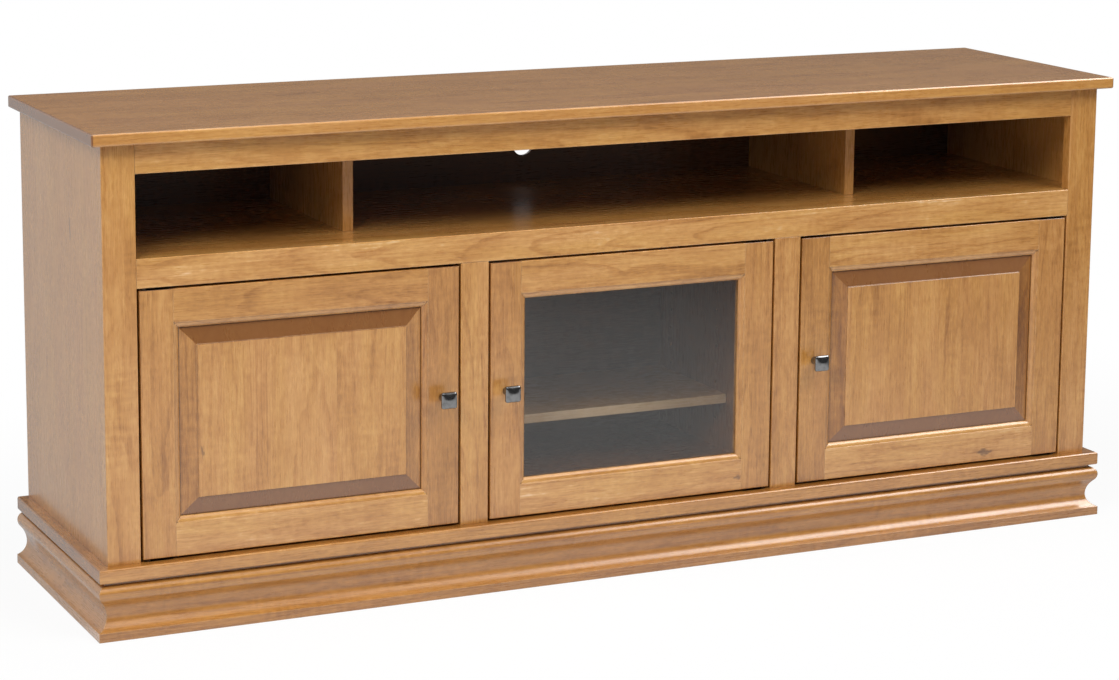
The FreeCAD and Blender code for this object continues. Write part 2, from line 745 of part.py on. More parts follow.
def make_hinges():
    """A pivot hinge at the foot and the head of each door's hinge edge."""
    lower, upper = [], []
    for name, spec in DOORS.items():
        pairs = []
        for leaves, level, turn in ((lower, CAP_TOP, spec["turns"][0]), (upper, DOOR_HEAD, spec["turns"][1])):
            leaves.append(place(frame_leaf("frame_leaf"), spec["pivot_x"], PIVOT_Y, level, turn))
            pairs.append(place(door_leaf("door_leaf"), spec["pivot_x"], PIVOT_Y, level, turn))
        spec["leaves"] = keep(group(f"{name}_hinge_leaves", pairs))
    keep(group("frame_hinge_leaves", lower + upper))
    return lower, upper


def frame_section(glazed, flip, swap):
    """Door frame section: moulded inner edge in front, groove or glass rabbet behind it."""
    edge = "dims.frame_width"
    seat = "(dims.frame_width - dims.groove_depth)"
    groove_back = f"({GROOVE_FRONT} + dims.groove_width)"
    stick_low = "(dims.stick_quirk + dims.stick_drop)"
    stick_round = "((dims.stick_width^2 + dims.stick_drop^2) / (2 * dims.stick_drop))"
    mirrored = flip != swap
    corners = [
        ("0", "0"),
        (FLAT_WIDTH, "0"),
        (FLAT_WIDTH, "dims.stick_quirk", stick_round, -1 if mirrored else 1),
        (edge, stick_low),
        (edge, GROOVE_FRONT),
        (seat, GROOVE_FRONT),
    ]
    if not glazed:
        corners += [(seat, groove_back), (edge, groove_back), (edge, "dims.door_thick")]
    else:
        corners += [(seat, "dims.door_thick")]
    corners += [("0", "dims.door_thick")]
    section = []
    for across, depth, *arc in corners:
        across = f"(-{across})" if flip else across
        section.append((depth, across, *arc) if swap else (across, depth, *arc))
    return section


def in_front(edge):
    """Whether an edge lies in a door member's front plane."""
    return abs(edge.BoundBox.YMin) < SMALL and abs(edge.BoundBox.YMax) < SMALL


def make_stile(name, spec, high, tools):
    """Upright of a door frame, full height, with its fittings let in."""

    def inner_arris(edge):
        return runs_along("z")(edge) and abs(edge.BoundBox.XMin) > SMALL

    blank = doc.addObject("PartDesign::Body", f"{name}_blank")
    section = frame_section(spec["glazed"], high, False)
    pad(blank, outline(sketch_on(blank, "XY_Plane"), section), DOOR_TALL)
    ease(blank, "dims.door_ease", lambda edge: in_front(edge) and not inner_arris(edge))
    place(blank, spec["edge_high"] if high else spec["edge_low"], FRONT, DOOR_LOW)
    keep(cut(name, blank, tools))
    return blank


def make_rail(name, spec, high, stiles):
    """Rail of a door frame, its ends coped over the stiles' moulded edges."""
    blank = doc.addObject("PartDesign::Body", f"{name}_blank")
    section = frame_section(spec["glazed"], high, True)
    pad(blank, outline(sketch_on(blank, "YZ_Plane"), section), f"({spec['wide']} - 2 * {FLAT_WIDTH})")

    def outer_arris(edge):
        return in_front(edge) and runs_along("x")(edge) and abs(edge.BoundBox.ZMin) < SMALL

    ease(blank, "dims.door_ease", outer_arris)
    level = f"({DOOR_LOW} + {DOOR_TALL})" if high else DOOR_LOW
    place(blank, f"({spec['edge_low']} + {FLAT_WIDTH})", FRONT, level)
    keep(cut(name, blank, stiles))


def make_panel(name, spec):
    """Raised panel: tongue in the groove, sloping bevel, step and a field flush with the frame."""
    margin = "(dims.frame_width - dims.groove_depth + dims.panel_play)"
    wide = f"({spec['wide']} - 2 * {margin})"
    tall = f"({DOOR_TALL} - 2 * {margin})"
    body = doc.addObject("PartDesign::Body", name)
    tongue_front = f"({GROOVE_FRONT} + dims.tongue_play)"

    def frame_at(depth, inset):
        sketch = sketch_on(body, "XZ_Plane", f"(-{depth})")
        return outline(sketch, rectangle(inset, inset, f"({wide} - {inset})", f"({tall} - {inset})"))

    opening = "(dims.groove_depth - dims.panel_play)"
    field_inset = f"({opening} + dims.bevel_width)"
    pad(body, frame_at(tongue_front, "0"), "dims.tongue_thick", True)
    field = frame_at("dims.field_step", field_inset)
    loft(body, frame_at(tongue_front, opening), field)
    pad(body, frame_at("dims.field_step", field_inset), "dims.field_step")
    ease(body, "dims.field_ease", in_front)
    keep(place(body, f"({spec['edge_low']} + {margin})", FRONT, f"({DOOR_LOW} + {margin})"))


def make_glass(name, spec):
    """Glass in the rabbet of its door, held from behind by four wooden stops."""
    margin = "(dims.frame_width - dims.groove_depth)"
    inset = f"({margin} + dims.glass_play)"
    face = f"({FRONT} + {GROOVE_FRONT})"
    size = (f"({spec['wide']} - 2 * {inset})", "dims.glass_thick", f"({DOOR_TALL} - 2 * {inset})")
    keep(block(f"{name}_glass", size, (f"({spec['edge_low']} + {inset})", face, f"({DOOR_LOW} + {inset})")))

    low_x = f"({spec['edge_low']} + {margin})"
    low_z = f"({DOOR_LOW} + {margin})"
    low_y = f"({face} + dims.glass_thick)"
    wide = f"({spec['wide']} - 2 * {margin})"
    tall = f"({DOOR_TALL} - 2 * {margin})"
    depth = f"(dims.door_thick - {GROOVE_FRONT} - dims.glass_thick - dims.stop_setback)"
    width = "dims.stop_width"
    stops = []
    for shift in ("0", f"({wide} - {width})"):
        stops.append(block("upright_stop", (width, depth, tall), (f"({low_x} + {shift})", low_y, low_z)))
    for shift in ("0", f"({tall} - {width})"):
        size = (f"({wide} - 2 * {width})", depth, width)
        stops.append(block("level_stop", size, (f"({low_x} + {width})", low_y, f"({low_z} + {shift})")))
    keep(group(f"{name}_glass_stops", stops))


KNOB_HEIGHT = f"({DOOR_LOW} + {DOOR_TALL} / 2)"


def make_knob(name, spec):
    """Square pillow-faced knob on a round neck, held by a screw from inside the door."""
    body = doc.addObject("PartDesign::Body", f"{name}_knob")
    half = "(dims.knob_size / 2)"
    rim_back = "(dims.knob_reach - dims.knob_crown - dims.knob_edge)"
    head_back = f"({rim_back} - dims.knob_back)"
    rim_front = f"({rim_back} + dims.knob_edge)"

    def square(reach, inset):
        side = f"({half} - {inset})"
        near = f"({side} - dims.knob_corner)"
        turn = ("dims.knob_corner", 1)
        corners = [
            (f"(-{near})", f"(-{side})"),
            (near, f"(-{side})", *turn),
            (side, f"(-{near})"),
            (side, near, *turn),
            (near, side),
            (f"(-{near})", side, *turn),
            (f"(-{side})", near),
            (f"(-{side})", f"(-{near})", *turn),
        ]
        return outline(sketch_on(body, "XZ_Plane", reach), corners)

    neck = circles(sketch_on(body, "XZ_Plane"), [("0", "0")], "dims.knob_neck_radius")
    pad(body, neck, head_back)
    loft(body, square(head_back, "dims.knob_back_inset"), square(rim_back, "0"))
    pad(body, square(rim_back, "0"), "dims.knob_edge")
    loft(body, square(rim_front, "0"), square("dims.knob_reach", "dims.knob_crown_inset"))
    doc.recompute()
    face = body.Shape.BoundBox.YMin
    ease(body, "dims.knob_ease", lambda edge: edge.BoundBox.YMax < face + SMALL)
    hole = circles(sketch_on(body, "XZ_Plane"), [("0", "0")], "dims.knob_screw_radius")
    pocket(body, hole, "dims.knob_screw_grip", True)
    keep(place(body, spec["knob_x"], FRONT, KNOB_HEIGHT))

    head_top = "(dims.door_thick + dims.knob_screw_head)"
    corners = [
        ("0", "(-dims.knob_screw_grip)"),
        ("dims.knob_screw_radius", "(-dims.knob_screw_grip)"),
        ("dims.knob_screw_radius", "dims.door_thick"),
        ("dims.knob_screw_head_radius", "dims.door_thick"),
        ("dims.knob_screw_head_radius", head_top),
        ("0", head_top),
    ]
    keep(place(turned(f"{name}_knob_screw", corners), spec["knob_x"], FRONT, KNOB_HEIGHT))


def make_door(name, spec):
    """One door: frame, panel or glass, knob and strike plate."""
    sockets = []
    for level, turn in zip((CAP_TOP, DOOR_HEAD), spec["turns"]):
        inward = "dims.door_end_gap" if level == CAP_TOP else "(-dims.door_end_gap)"
        start = f"({level} + {inward})"
        sockets.append(rod("socket", SOCKET_RADIUS, SOCKET_DEPTH, spec["pivot_x"], PIVOT_Y, start, turn))
    hinge_tools = [spec["leaves"], *sockets]
    screw_room = "(dims.knob_screw_radius + dims.knob_screw_clearance)"
    screw_hole = rod("screw_hole", screw_room, "dims.door_thick", spec["knob_x"], FRONT, KNOB_HEIGHT, LAY_ALONG_Y)
    low_tools, high_tools = (hinge_tools, [screw_hole])
    if spec["hinge"] == "high":
        low_tools, high_tools = high_tools, low_tools
    stiles = [
        make_stile(f"{name}_left_stile", spec, False, low_tools),
        make_stile(f"{name}_right_stile", spec, True, high_tools),
    ]
    make_rail(f"{name}_bottom_rail", spec, False, stiles)
    make_rail(f"{name}_top_rail", spec, True, stiles)
    if spec["glazed"]:
        make_glass(name, spec)
    else:
        make_panel(f"{name}_panel", spec)
    make_knob(name, spec)
    size = ("dims.strike_length", "dims.strike_thick", "dims.strike_height")
    low_x = f"({spec['catch_x']} - dims.strike_length / 2)"
    low_z = f"({FLOOR_TOP} + dims.catch_height / 2 - dims.strike_height / 2)"
    keep(block(f"{name}_strike", size, (low_x, DOOR_BACK, low_z)))


def make_catches():
    """Magnetic catches on the cupboard floor, one behind each door's free edge."""
    low_y = f"({DOOR_BACK} + dims.strike_thick + dims.catch_gap)"
    size = ("dims.catch_length", "dims.catch_depth", "dims.catch_height")
    catches = []
    for spec in DOORS.values():
        low_x = f"({spec['catch_x']} - dims.catch_length / 2)"
        catches.append(block("catch", size, (low_x, low_y, FLOOR_TOP)))
    keep(group("door_catches", catches))


top_screws, back_screws = make_screws()
make_top(top_screws)
make_shell(top_screws, back_screws)
make_side_panel("left_side_panel", f"(-{CASE_SIDE})", "dims.board_thick", False)
make_side_panel("right_side_panel", INNER_SIDE, "0", True)
make_partition("left_partition", f"(-{PARTITION_FAR})")
make_partition("right_partition", PARTITION_NEAR)
make_divider("left_bay_divider", "(-dims.divider_centre)")
make_divider("right_bay_divider", "dims.divider_centre")
lower_leaves, upper_leaves = make_hinges()
make_face_frame(upper_leaves)
make_mouldings()
make_caps(lower_leaves)
make_rear_rail()
make_shelves()
for name, spec in DOORS.items():
    make_door(name, spec)
make_catches()
doc.recompute()

for item in doc.Objects:
    if any(word in item.State for word in ("Invalid", "Error")):
        raise ValueError(f"{item.Name} failed: {item.State}")
for piece in pieces:
    if piece.Shape.isNull() or not piece.Shape.isValid() or not piece.Shape.Solids:
        raise ValueError(f"{piece.Label} has no valid solid")

os.makedirs("parts", exist_ok=True)
for piece in pieces:
    piece.Shape.exportStep(f"parts/{piece.Label}.step")
    print(piece.Label, len(piece.Shape.Solids), round(piece.Shape.Volume))
print(len(pieces), "pieces")
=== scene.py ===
from math import cos, pi, radians, sin

import bmesh
import bpy
from bpy.props import FloatProperty, FloatVectorProperty, PointerProperty
from mathutils import Matrix, Vector


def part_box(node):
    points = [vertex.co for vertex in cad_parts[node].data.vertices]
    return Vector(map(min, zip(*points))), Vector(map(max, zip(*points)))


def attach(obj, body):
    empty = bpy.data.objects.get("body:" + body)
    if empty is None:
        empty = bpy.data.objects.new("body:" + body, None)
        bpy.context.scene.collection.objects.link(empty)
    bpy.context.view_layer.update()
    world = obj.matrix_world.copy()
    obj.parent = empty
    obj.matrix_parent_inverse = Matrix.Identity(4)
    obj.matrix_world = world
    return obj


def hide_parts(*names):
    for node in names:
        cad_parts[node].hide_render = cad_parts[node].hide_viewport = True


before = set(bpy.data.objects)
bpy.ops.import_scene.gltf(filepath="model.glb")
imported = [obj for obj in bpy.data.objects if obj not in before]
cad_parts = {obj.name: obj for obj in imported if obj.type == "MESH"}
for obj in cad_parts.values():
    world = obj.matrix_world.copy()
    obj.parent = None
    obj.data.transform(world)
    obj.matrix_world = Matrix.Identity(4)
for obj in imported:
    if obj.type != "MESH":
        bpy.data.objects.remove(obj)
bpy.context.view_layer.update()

bl_info = {
    "name": "Media Console",
    "version": (1, 0, 0),
    "blender": (4, 5, 0),
    "location": "3D View > Sidebar > Console",
    "description": "Stained wood, smoked glass, pewter knobs and studio for the media console",
    "category": "Object",
}

DOORS = ("left_door", "centre_door", "right_door")
WHITE = (1.0, 1.0, 1.0, 1.0)
# The yellower and the redder casts that the stain wanders between
HONEY = (1.0, 1.0, 0.92, 1.0)
ROSE = (1.0, 0.985, 1.04, 1.0)

# A knot is its place across, its place along and its radius. No radius means no knot.
NO_KNOT = (0.0, 0.0, 0.0)
# An opening is its half width, middle height and half height. A vast one leaves no joint line.
NO_OPENING = (100.0, 0.0, 100.0)
# A stave wider than any board leaves the board whole
WHOLE_BOARD = 5.0

# Points round each ring of a knob, and how far its face stays in from its sides
KNOB_POINTS = 40
FACE_INSET = 0.0022
# Rings that draw the pillow, as shares of the face, and their corner radius as a share of their half width
PILLOW_RINGS = (0.84, 0.68, 0.52, 0.36, 0.2, 0.08)
PILLOW_CORNER = 0.2

# Soft boxes: place, target, width and height in metres
LAMPS = {
    "key": ((-3.1, -2.4, 3.3), (0.0, -0.2, 0.4), 2.4, 1.8),
    "fill": ((1.9, -2.8, 3.6), (0.2, -0.2, 0.4), 2.6, 2.0),
    "side": ((-3.4, -2.6, 1.3), (0.0, -0.2, 0.5), 1.6, 1.2),
    "top": ((-0.3, -0.6, 3.4), (0.0, 0.0, 0.5), 3.4, 1.8),
}

# The photograph's camera: metres, degrees, millimetres of sensor and a share of the sensor's width
CAMERA_PLACE = (-2.17432, -4.51636, 1.44483)
CAMERA_YAW = 25.309
CAMERA_PITCH = 10.0994
CAMERA_ROLL = 0.5042
CAMERA_SENSOR = 36.0
CAMERA_SHIFT = -0.10464

# About half the console's width and depth on the floor
HALF_PLAN = (0.9, 0.22, 0.0)
FLOOR_LEVEL = -0.0005
FLOOR_RADIUS = 40.0

# The bright panel in the gloss: its left and right sides, where it fades in, and its profile as
# depths and heights from the front
GLEAM_SIDES = (0.5, 4.6)
GLEAM_FADE = (0.7, 2.9)
GLEAM_PROFILE = ((-2.9, 2.4), (-2.1, 3.2), (-0.4, 3.5), (1.6, 3.3))

# The studio's rounded walls and ceiling in the gloss, as radii and heights
ROOM_PROFILE = ((7.5, 0.02), (7.5, 2.5), (6.0, 4.6), (0.3, 5.2))
ROOM_POINTS = 32


def colour_property(name, description, default):
    """A colour that a user can change."""
    return FloatVectorProperty(
        name=name, description=description, default=default, subtype="COLOR", size=3, min=0.0, max=1.0
    )


def length_property(name, description, default):
    """A length in metres that a user can change."""
    return FloatProperty(
        name=name, description=description, default=default, min=0.0, unit="LENGTH", precision=5
    )


def power_property(name, description, default):
    """The power of a lamp that a user can change."""
    return FloatProperty(name=name, description=description, default=default, min=0.0, unit="POWER")


def value_property(name, description, default, highest):
    """A plain value that a user can change."""
    return FloatProperty(name=name, description=description, default=default, min=0.0, max=highest)


class ConsoleWood(bpy.types.PropertyGroup):
    """Stain, figure and lacquer of the boards."""

    # The pale banded edge is reached only on the shelves, where it is partly painted light
    pale_edge_and_light: colour_property("Bare edge", "Pale banded edges", (0.85, 0.62, 0.38))
    stain_light: colour_property("Light stain", "Palest streaks of the stained wood", (0.62, 0.33, 0.1))
    stain_mid: colour_property("Mid stain", "Usual colour of the stained wood", (0.475, 0.216, 0.052))
    # Dark, Deep and Mark also paint the shade inside the case at the lowest tones, and Mark the shade in
    # the crevice of the joint lines
    stain_dark: colour_property("Dark stain", "Darkest streaks of the stained wood", (0.3, 0.118, 0.021))
    stain_deep: colour_property("Deep stain", "Stain soaked into cut fibre ends", (0.175, 0.062, 0.016))
    dark_mark: colour_property("Dark mark", "Knots, mineral streaks and joint lines", (0.085, 0.034, 0.013))
    # The worn edge colour also paints a highlight line along the arrises
    worn_edge_and_highlight: colour_property("Worn edge", "Stain rubbed thin along the arrises", (0.7, 0.42, 0.19))
    ring_pitch: length_property("Ring pitch", "Distance between growth rings", 0.0075)
    stave_width: length_property("Stave width", "Width of the glued staves of wide boards", 0.085)
    edge_radius: length_property("Edge radius", "Rounding of arrises seen in the highlights", 0.0015)
    lacquer_roughness: value_property("Lacquer roughness", "Satin of the lacquer", 0.28, 1.0)


class ConsoleFittings(bpy.types.PropertyGroup):
    """Colours and sizes of the glass and the metalwork."""

    glass_tint: colour_property("Glass tint", "Smoke of the glass door", (0.66, 0.66, 0.63))
    pewter: colour_property("Pewter", "Metal of the knobs", (0.27, 0.268, 0.268))
    hinge_steel: colour_property("Hinge steel", "Metal of the pivot hinges", (0.1, 0.07, 0.05))
    zinc: colour_property("Zinc", "Plating of the screws, pegs and strikes", (0.6, 0.6, 0.58))
    catch_plastic: colour_property("Catch plastic", "Moulding of the magnetic catches", (0.16, 0.1, 0.06))
    knob_pillow: length_property("Knob pillow", "Rise of the knob's face at its middle", 0.0024)


class ConsoleStudio(bpy.types.PropertyGroup):
    """Floor, lamps and camera."""

    floor: colour_property("Floor", "Pale studio floor", (0.86, 0.86, 0.86))
    room: colour_property("Room", "Dim studio seen in the gloss", (0.16, 0.16, 0.16))
    ambient: value_property("Ambient", "Light from all round", 0.03, 2.0)
    key_power: power_property("Key", "Soft box high at the left", 124.0)
    fill_power: power_property("Fill", "Soft box high at the front", 106.0)
    top_power: power_property("Top", "Soft box overhead", 50.0)
    side_power: power_property("Side", "Low box at the left", 15.0)
    gleam: value_property("Gleam", "Bright panel seen in the gloss", 6.5, 20.0)
    floor_reach: length_property("Floor reach", "How far the floor shows in the gloss", 3.75)
    lens: FloatProperty(
        name="Lens", description="Focal length on a 36 mm sensor", default=96.747, unit="CAMERA"
    )


# Shader nodes

# Sockets of a colour mix: its two colours and its result
MIX_FIRST = 6
MIX_SECOND = 7
MIX_RESULT = 2


def fill(tree, made, inputs):
    """Link or set a node's inputs."""
    for key, value in inputs.items():
        if isinstance(value, bpy.types.NodeSocket):
            tree.links.new(value, made.inputs[key])
        else:
            made.inputs[key].default_value = value


def node(tree, kind, inputs=None, **options):
    """Add a node, set its options, then link or set its inputs."""
    made = tree.nodes.new(kind)
    for key, value in options.items():
        setattr(made, key, value)
    fill(tree, made, inputs or {})
    return made


def first_node(tree, kind):
    """The first node of a kind."""
    return next(item for item in tree.nodes if item.type == kind)


def maths(tree, operation, *values):
    """One sum."""
    return node(tree, "ShaderNodeMath", dict(enumerate(values)), operation=operation).outputs[0]


def vector_maths(tree, operation, *values):
    """One vector sum, as a vector."""
    return node(tree, "ShaderNodeVectorMath", dict(enumerate(values)), operation=operation).outputs[0]


def centred(tree, value):
    """A value about a half, brought to lie about nought."""
    return maths(tree, "SUBTRACT", value, 0.5)


def split(tree, vector):
    """The three parts of a vector."""
    return node(tree, "ShaderNodeSeparateXYZ", {0: vector}).outputs


def join(tree, *parts):
    """A vector from its parts."""
    return node(tree, "ShaderNodeCombineXYZ", dict(enumerate(parts))).outputs[0]


def length(tree, vector):
    """The length of a vector."""
    return node(tree, "ShaderNodeVectorMath", {0: vector}, operation="LENGTH").outputs["Value"]


def ramp(tree, value, low, high, to_low=0.0, to_high=1.0, kind="SMOOTHSTEP"):
    """A value taken from one range to another."""
    inputs = {"Value": value, "From Min": low, "From Max": high, "To Min": to_low, "To Max": to_high}
    return node(tree, "ShaderNodeMapRange", inputs, interpolation_type=kind).outputs["Result"]


def blend(tree, factor, first, second, kind="MIX"):
    """Two colours mixed."""
    mixed = node(tree, "ShaderNodeMix", {"Factor": factor}, data_type="RGBA", blend_type=kind)
    fill(tree, mixed, {MIX_FIRST: first, MIX_SECOND: second})
    return mixed.outputs[MIX_RESULT]


def noise(tree, place, stretch, detail=2.0, roughness=0.5):
    """Soft noise over a stretched place, as (value, colour)."""
    spread = vector_maths(tree, "MULTIPLY", place, stretch)
    inputs = {"Vector": spread, "Scale": 1.0, "Detail": detail, "Roughness": roughness}
    made = node(tree, "ShaderNodeTexNoise", inputs)
    return made.outputs["Fac"], made.outputs["Color"]


def group(name, takes, gives):
    """An empty node group with named sockets, its tree, inputs and output node."""
    tree = bpy.data.node_groups.new(name, "ShaderNodeTree")
    for label, kind in takes:
        tree.interface.new_socket(label, in_out="INPUT", socket_type=f"NodeSocket{kind}")
    for label, kind in gives:
        tree.interface.new_socket(label, in_out="OUTPUT", socket_type=f"NodeSocket{kind}")
    source = tree.nodes.new("NodeGroupInput").outputs
    return tree, source, tree.nodes.new("NodeGroupOutput")


def placed(tree, name, inputs):
    """A node group set into a material."""
    made = tree.nodes.new("ShaderNodeGroup")
    made.node_tree = bpy.data.node_groups[name]
    fill(tree, made, inputs)
    return made.outputs


def opaque(colour):
    """A property's colour with full alpha."""
    return (*colour, 1.0)


def make_edge_group():
    """Arrises: a rounded normal and a broken mask along them, for rubbed wear and, in the wood, a painted
    highlight line.
    """
    takes = [("Radius", "Float"), ("Place", "Vector")]
    gives = [("Wear", "Float"), ("Normal", "Vector")]
    tree, source, out = group("arris_wear", takes, gives)
    rounded = node(tree, "ShaderNodeBevel", {"Radius": source["Radius"]}, samples=6).outputs["Normal"]
    plain = node(tree, "ShaderNodeNewGeometry").outputs["Normal"]
    turned = node(tree, "ShaderNodeVectorMath", {0: rounded, 1: plain}, operation="DOT_PRODUCT")
    edge = ramp(tree, turned.outputs["Value"], 0.995, 0.8)
    rub, _ = noise(tree, source["Place"], (70.0, 70.0, 70.0), 3.0)
    # Rubbed arrises, whose mask the wood also uses for a painted highlight line
    wear_and_highlight = maths(tree, "MULTIPLY", edge, ramp(tree, rub, 0.3, 0.58))
    tree.links.new(wear_and_highlight, out.inputs["Wear"])
    tree.links.new(rounded, out.inputs["Normal"])


def make_smudge_group():
    """Faint marks of handling and wiping, for the gloss."""
    takes = [("Place", "Vector"), ("Base", "Float"), ("Depth", "Float")]
    tree, source, out = group("handling_marks", takes, [("Roughness", "Float")])
    broad, _ = noise(tree, source["Place"], (7.0, 7.0, 7.0), 3.0)
    fine, _ = noise(tree, source["Place"], (60.0, 60.0, 22.0), 2.0)
    marks = maths(tree, "MULTIPLY_ADD", fine, 0.35, maths(tree, "MULTIPLY", broad, 0.65))
    shift = maths(tree, "MULTIPLY", centred(tree, marks), source["Depth"])
    tree.links.new(maths(tree, "ADD", source["Base"], shift), out.inputs["Roughness"])


def make_board_group():
    """Stained hardwood. Place and Facing are across, through and along the grain."""
    takes = [
        ("Place", "Vector"),
        ("Facing", "Vector"),
        ("Cut", "Vector"),
        ("Nature", "Vector"),
        ("Knot", "Vector"),
        ("Finish", "Vector"),
        ("Opening", "Vector"),
        ("Ring Pitch", "Float"),
        ("Bare", "Color"),
        ("Light", "Color"),
        ("Mid", "Color"),
        ("Dark", "Color"),
        ("Deep", "Color"),
        ("Mark", "Color"),
    ]
    gives = [("Color", "Color"), ("Sheen", "Float"), ("Height", "Float")]
    tree, source, out = group("stained_board", takes, gives)
    across, through, along = split(tree, source["Place"])
    middle, depth, stave = split(tree, source["Cut"])
    seed, tone, figure = split(tree, source["Nature"])
    # The edge tone, partly painted light and shade, and the strength of the grain
    edges, strength, _ = split(tree, source["Finish"])

    # Glued staves, each from a tree of its own
    offset = maths(tree, "SUBTRACT", across, middle)
    number = maths(tree, "FLOOR", maths(tree, "ADD", maths(tree, "DIVIDE", offset, stave), 0.5))
    in_stave = maths(tree, "SUBTRACT", offset, maths(tree, "MULTIPLY", number, stave))
    key = join(tree, number, seed, 0.5)
    chance = node(tree, "ShaderNodeTexWhiteNoise", {"Vector": key}, noise_dimensions="3D").outputs
    chance_a, chance_b, chance_c = node(tree, "ShaderNodeSeparateColor", {0: chance["Color"]}).outputs
    behind = maths(tree, "SUBTRACT", through, depth)
    spot = join(
        tree,
        maths(tree, "MULTIPLY_ADD", chance_a, 3.0, in_stave),
        maths(tree, "MULTIPLY_ADD", chance_b, 3.0, behind),
        maths(tree, "MULTIPLY_ADD", chance_c, 9.0, along),
    )

    # Growth rings about a pith that wanders behind the face
    _, drift = noise(tree, spot, (9.0, 9.0, 2.2), 2.0)
    drift_a, drift_b, _ = node(tree, "ShaderNodeSeparateColor", {0: drift}).outputs
    wobble, _ = noise(tree, spot, (45.0, 45.0, 14.0), 2.0)
    pith_a = maths(tree, "MULTIPLY_ADD", chance_a, -0.06, 0.03)
    pith_b = maths(tree, "MULTIPLY_ADD", chance_b, 0.07, 0.03)
    tilt = maths(tree, "MULTIPLY", centred(tree, chance_c), 0.09)
    ring_a = maths(tree, "MULTIPLY_ADD", drift_a, 0.02, maths(tree, "ADD", in_stave, pith_a))
    ring_b = maths(tree, "MULTIPLY_ADD", along, tilt, maths(tree, "ADD", behind, pith_b))
    ring_b = maths(tree, "MULTIPLY_ADD", drift_b, 0.02, ring_b)
    radius = length(tree, join(tree, ring_a, ring_b))
    radius = maths(tree, "MULTIPLY_ADD", wobble, 0.005, radius)
    turn = maths(tree, "FRACT", maths(tree, "DIVIDE", radius, source["Ring Pitch"]))
    ring = maths(tree, "MULTIPLY", ramp(tree, turn, 0.66, 0.94), ramp(tree, turn, 1.0, 0.96))
    shown, _ = noise(tree, spot, (14.0, 14.0, 4.0), 1.0)
    ring = maths(tree, "MULTIPLY", ring, ramp(tree, shown, 0.3, 0.6, 0.25, 1.0))

    # Blotches of stain, patches of curl, streaks, flecks, lines, fibre and pores
    blotch, _ = noise(tree, spot, (20.0, 20.0, 7.0), 3.0, 0.6)
    patch, _ = noise(tree, spot, (11.0, 11.0, 6.0), 1.0)
    ripple, _ = noise(tree, spot, (26.0, 26.0, 105.0), 2.0)
    curl = maths(tree, "MULTIPLY", centred(tree, ripple), ramp(tree, patch, 0.4, 0.62))
    streak, _ = noise(tree, spot, (75.0, 75.0, 5.0), 3.0, 0.6)
    fleck, _ = noise(tree, spot, (210.0, 210.0, 80.0), 2.0)
    line, _ = noise(tree, spot, (330.0, 330.0, 7.0), 1.0)
    fibre, _ = noise(tree, spot, (620.0, 620.0, 34.0), 2.0, 0.6)
    pores, _ = noise(tree, spot, (1500.0, 1500.0, 60.0), 1.0)
    pore = ramp(tree, pores, 0.66, 0.76)
    mineral, _ = noise(tree, spot, (24.0, 24.0, 5.0), 2.0)
    mineral = ramp(tree, mineral, 0.74, 0.82)
    hue, _ = noise(tree, spot, (24.0, 24.0, 3.0), 2.0)

    grain = maths(tree, "MULTIPLY", ring, -0.24)
    for pattern, weight in ((blotch, 0.85), (streak, 0.48), (fleck, 0.6), (line, 0.55), (fibre, 0.45)):
        grain = maths(tree, "MULTIPLY_ADD", centred(tree, pattern), weight, grain)
    # The tone sets the lightness; on some boards it is painted light, on others painted shade
    level = maths(tree, "ADD", 0.5, tone)
    level = maths(tree, "MULTIPLY_ADD", centred(tree, chance["Value"]), 0.12, level)
    level = maths(tree, "MULTIPLY_ADD", curl, figure, level)
    level = maths(tree, "MULTIPLY_ADD", grain, strength, level)

    # Edges and bevels cut across the board, set lighter or darker by the edge tone as partly painted light
    # and shade, and the ends of its fibres
    facing = split(tree, source["Facing"])
    sideways = ramp(tree, maths(tree, "ABSOLUTE", facing[0]), 0.05, 0.21)
    level = maths(tree, "MULTIPLY_ADD", sideways, edges, level)
    endwise = maths(tree, "ABSOLUTE", facing[2])
    end = maths(tree, "MULTIPLY", ramp(tree, endwise, 0.05, 0.21), 0.87)
    half_across, middle_along, half_along = split(tree, source["Opening"])
    from_side = maths(tree, "SUBTRACT", maths(tree, "ABSOLUTE", offset), half_across)
    from_end = maths(tree, "ABSOLUTE", maths(tree, "SUBTRACT", along, middle_along))
    from_end = maths(tree, "SUBTRACT", from_end, half_along)
    # A dark line round the opening: stain gathered in the joint, and painted shade of the crevice
    joint = ramp(tree, maths(tree, "MAXIMUM", from_side, from_end), -0.0026, -0.0008)

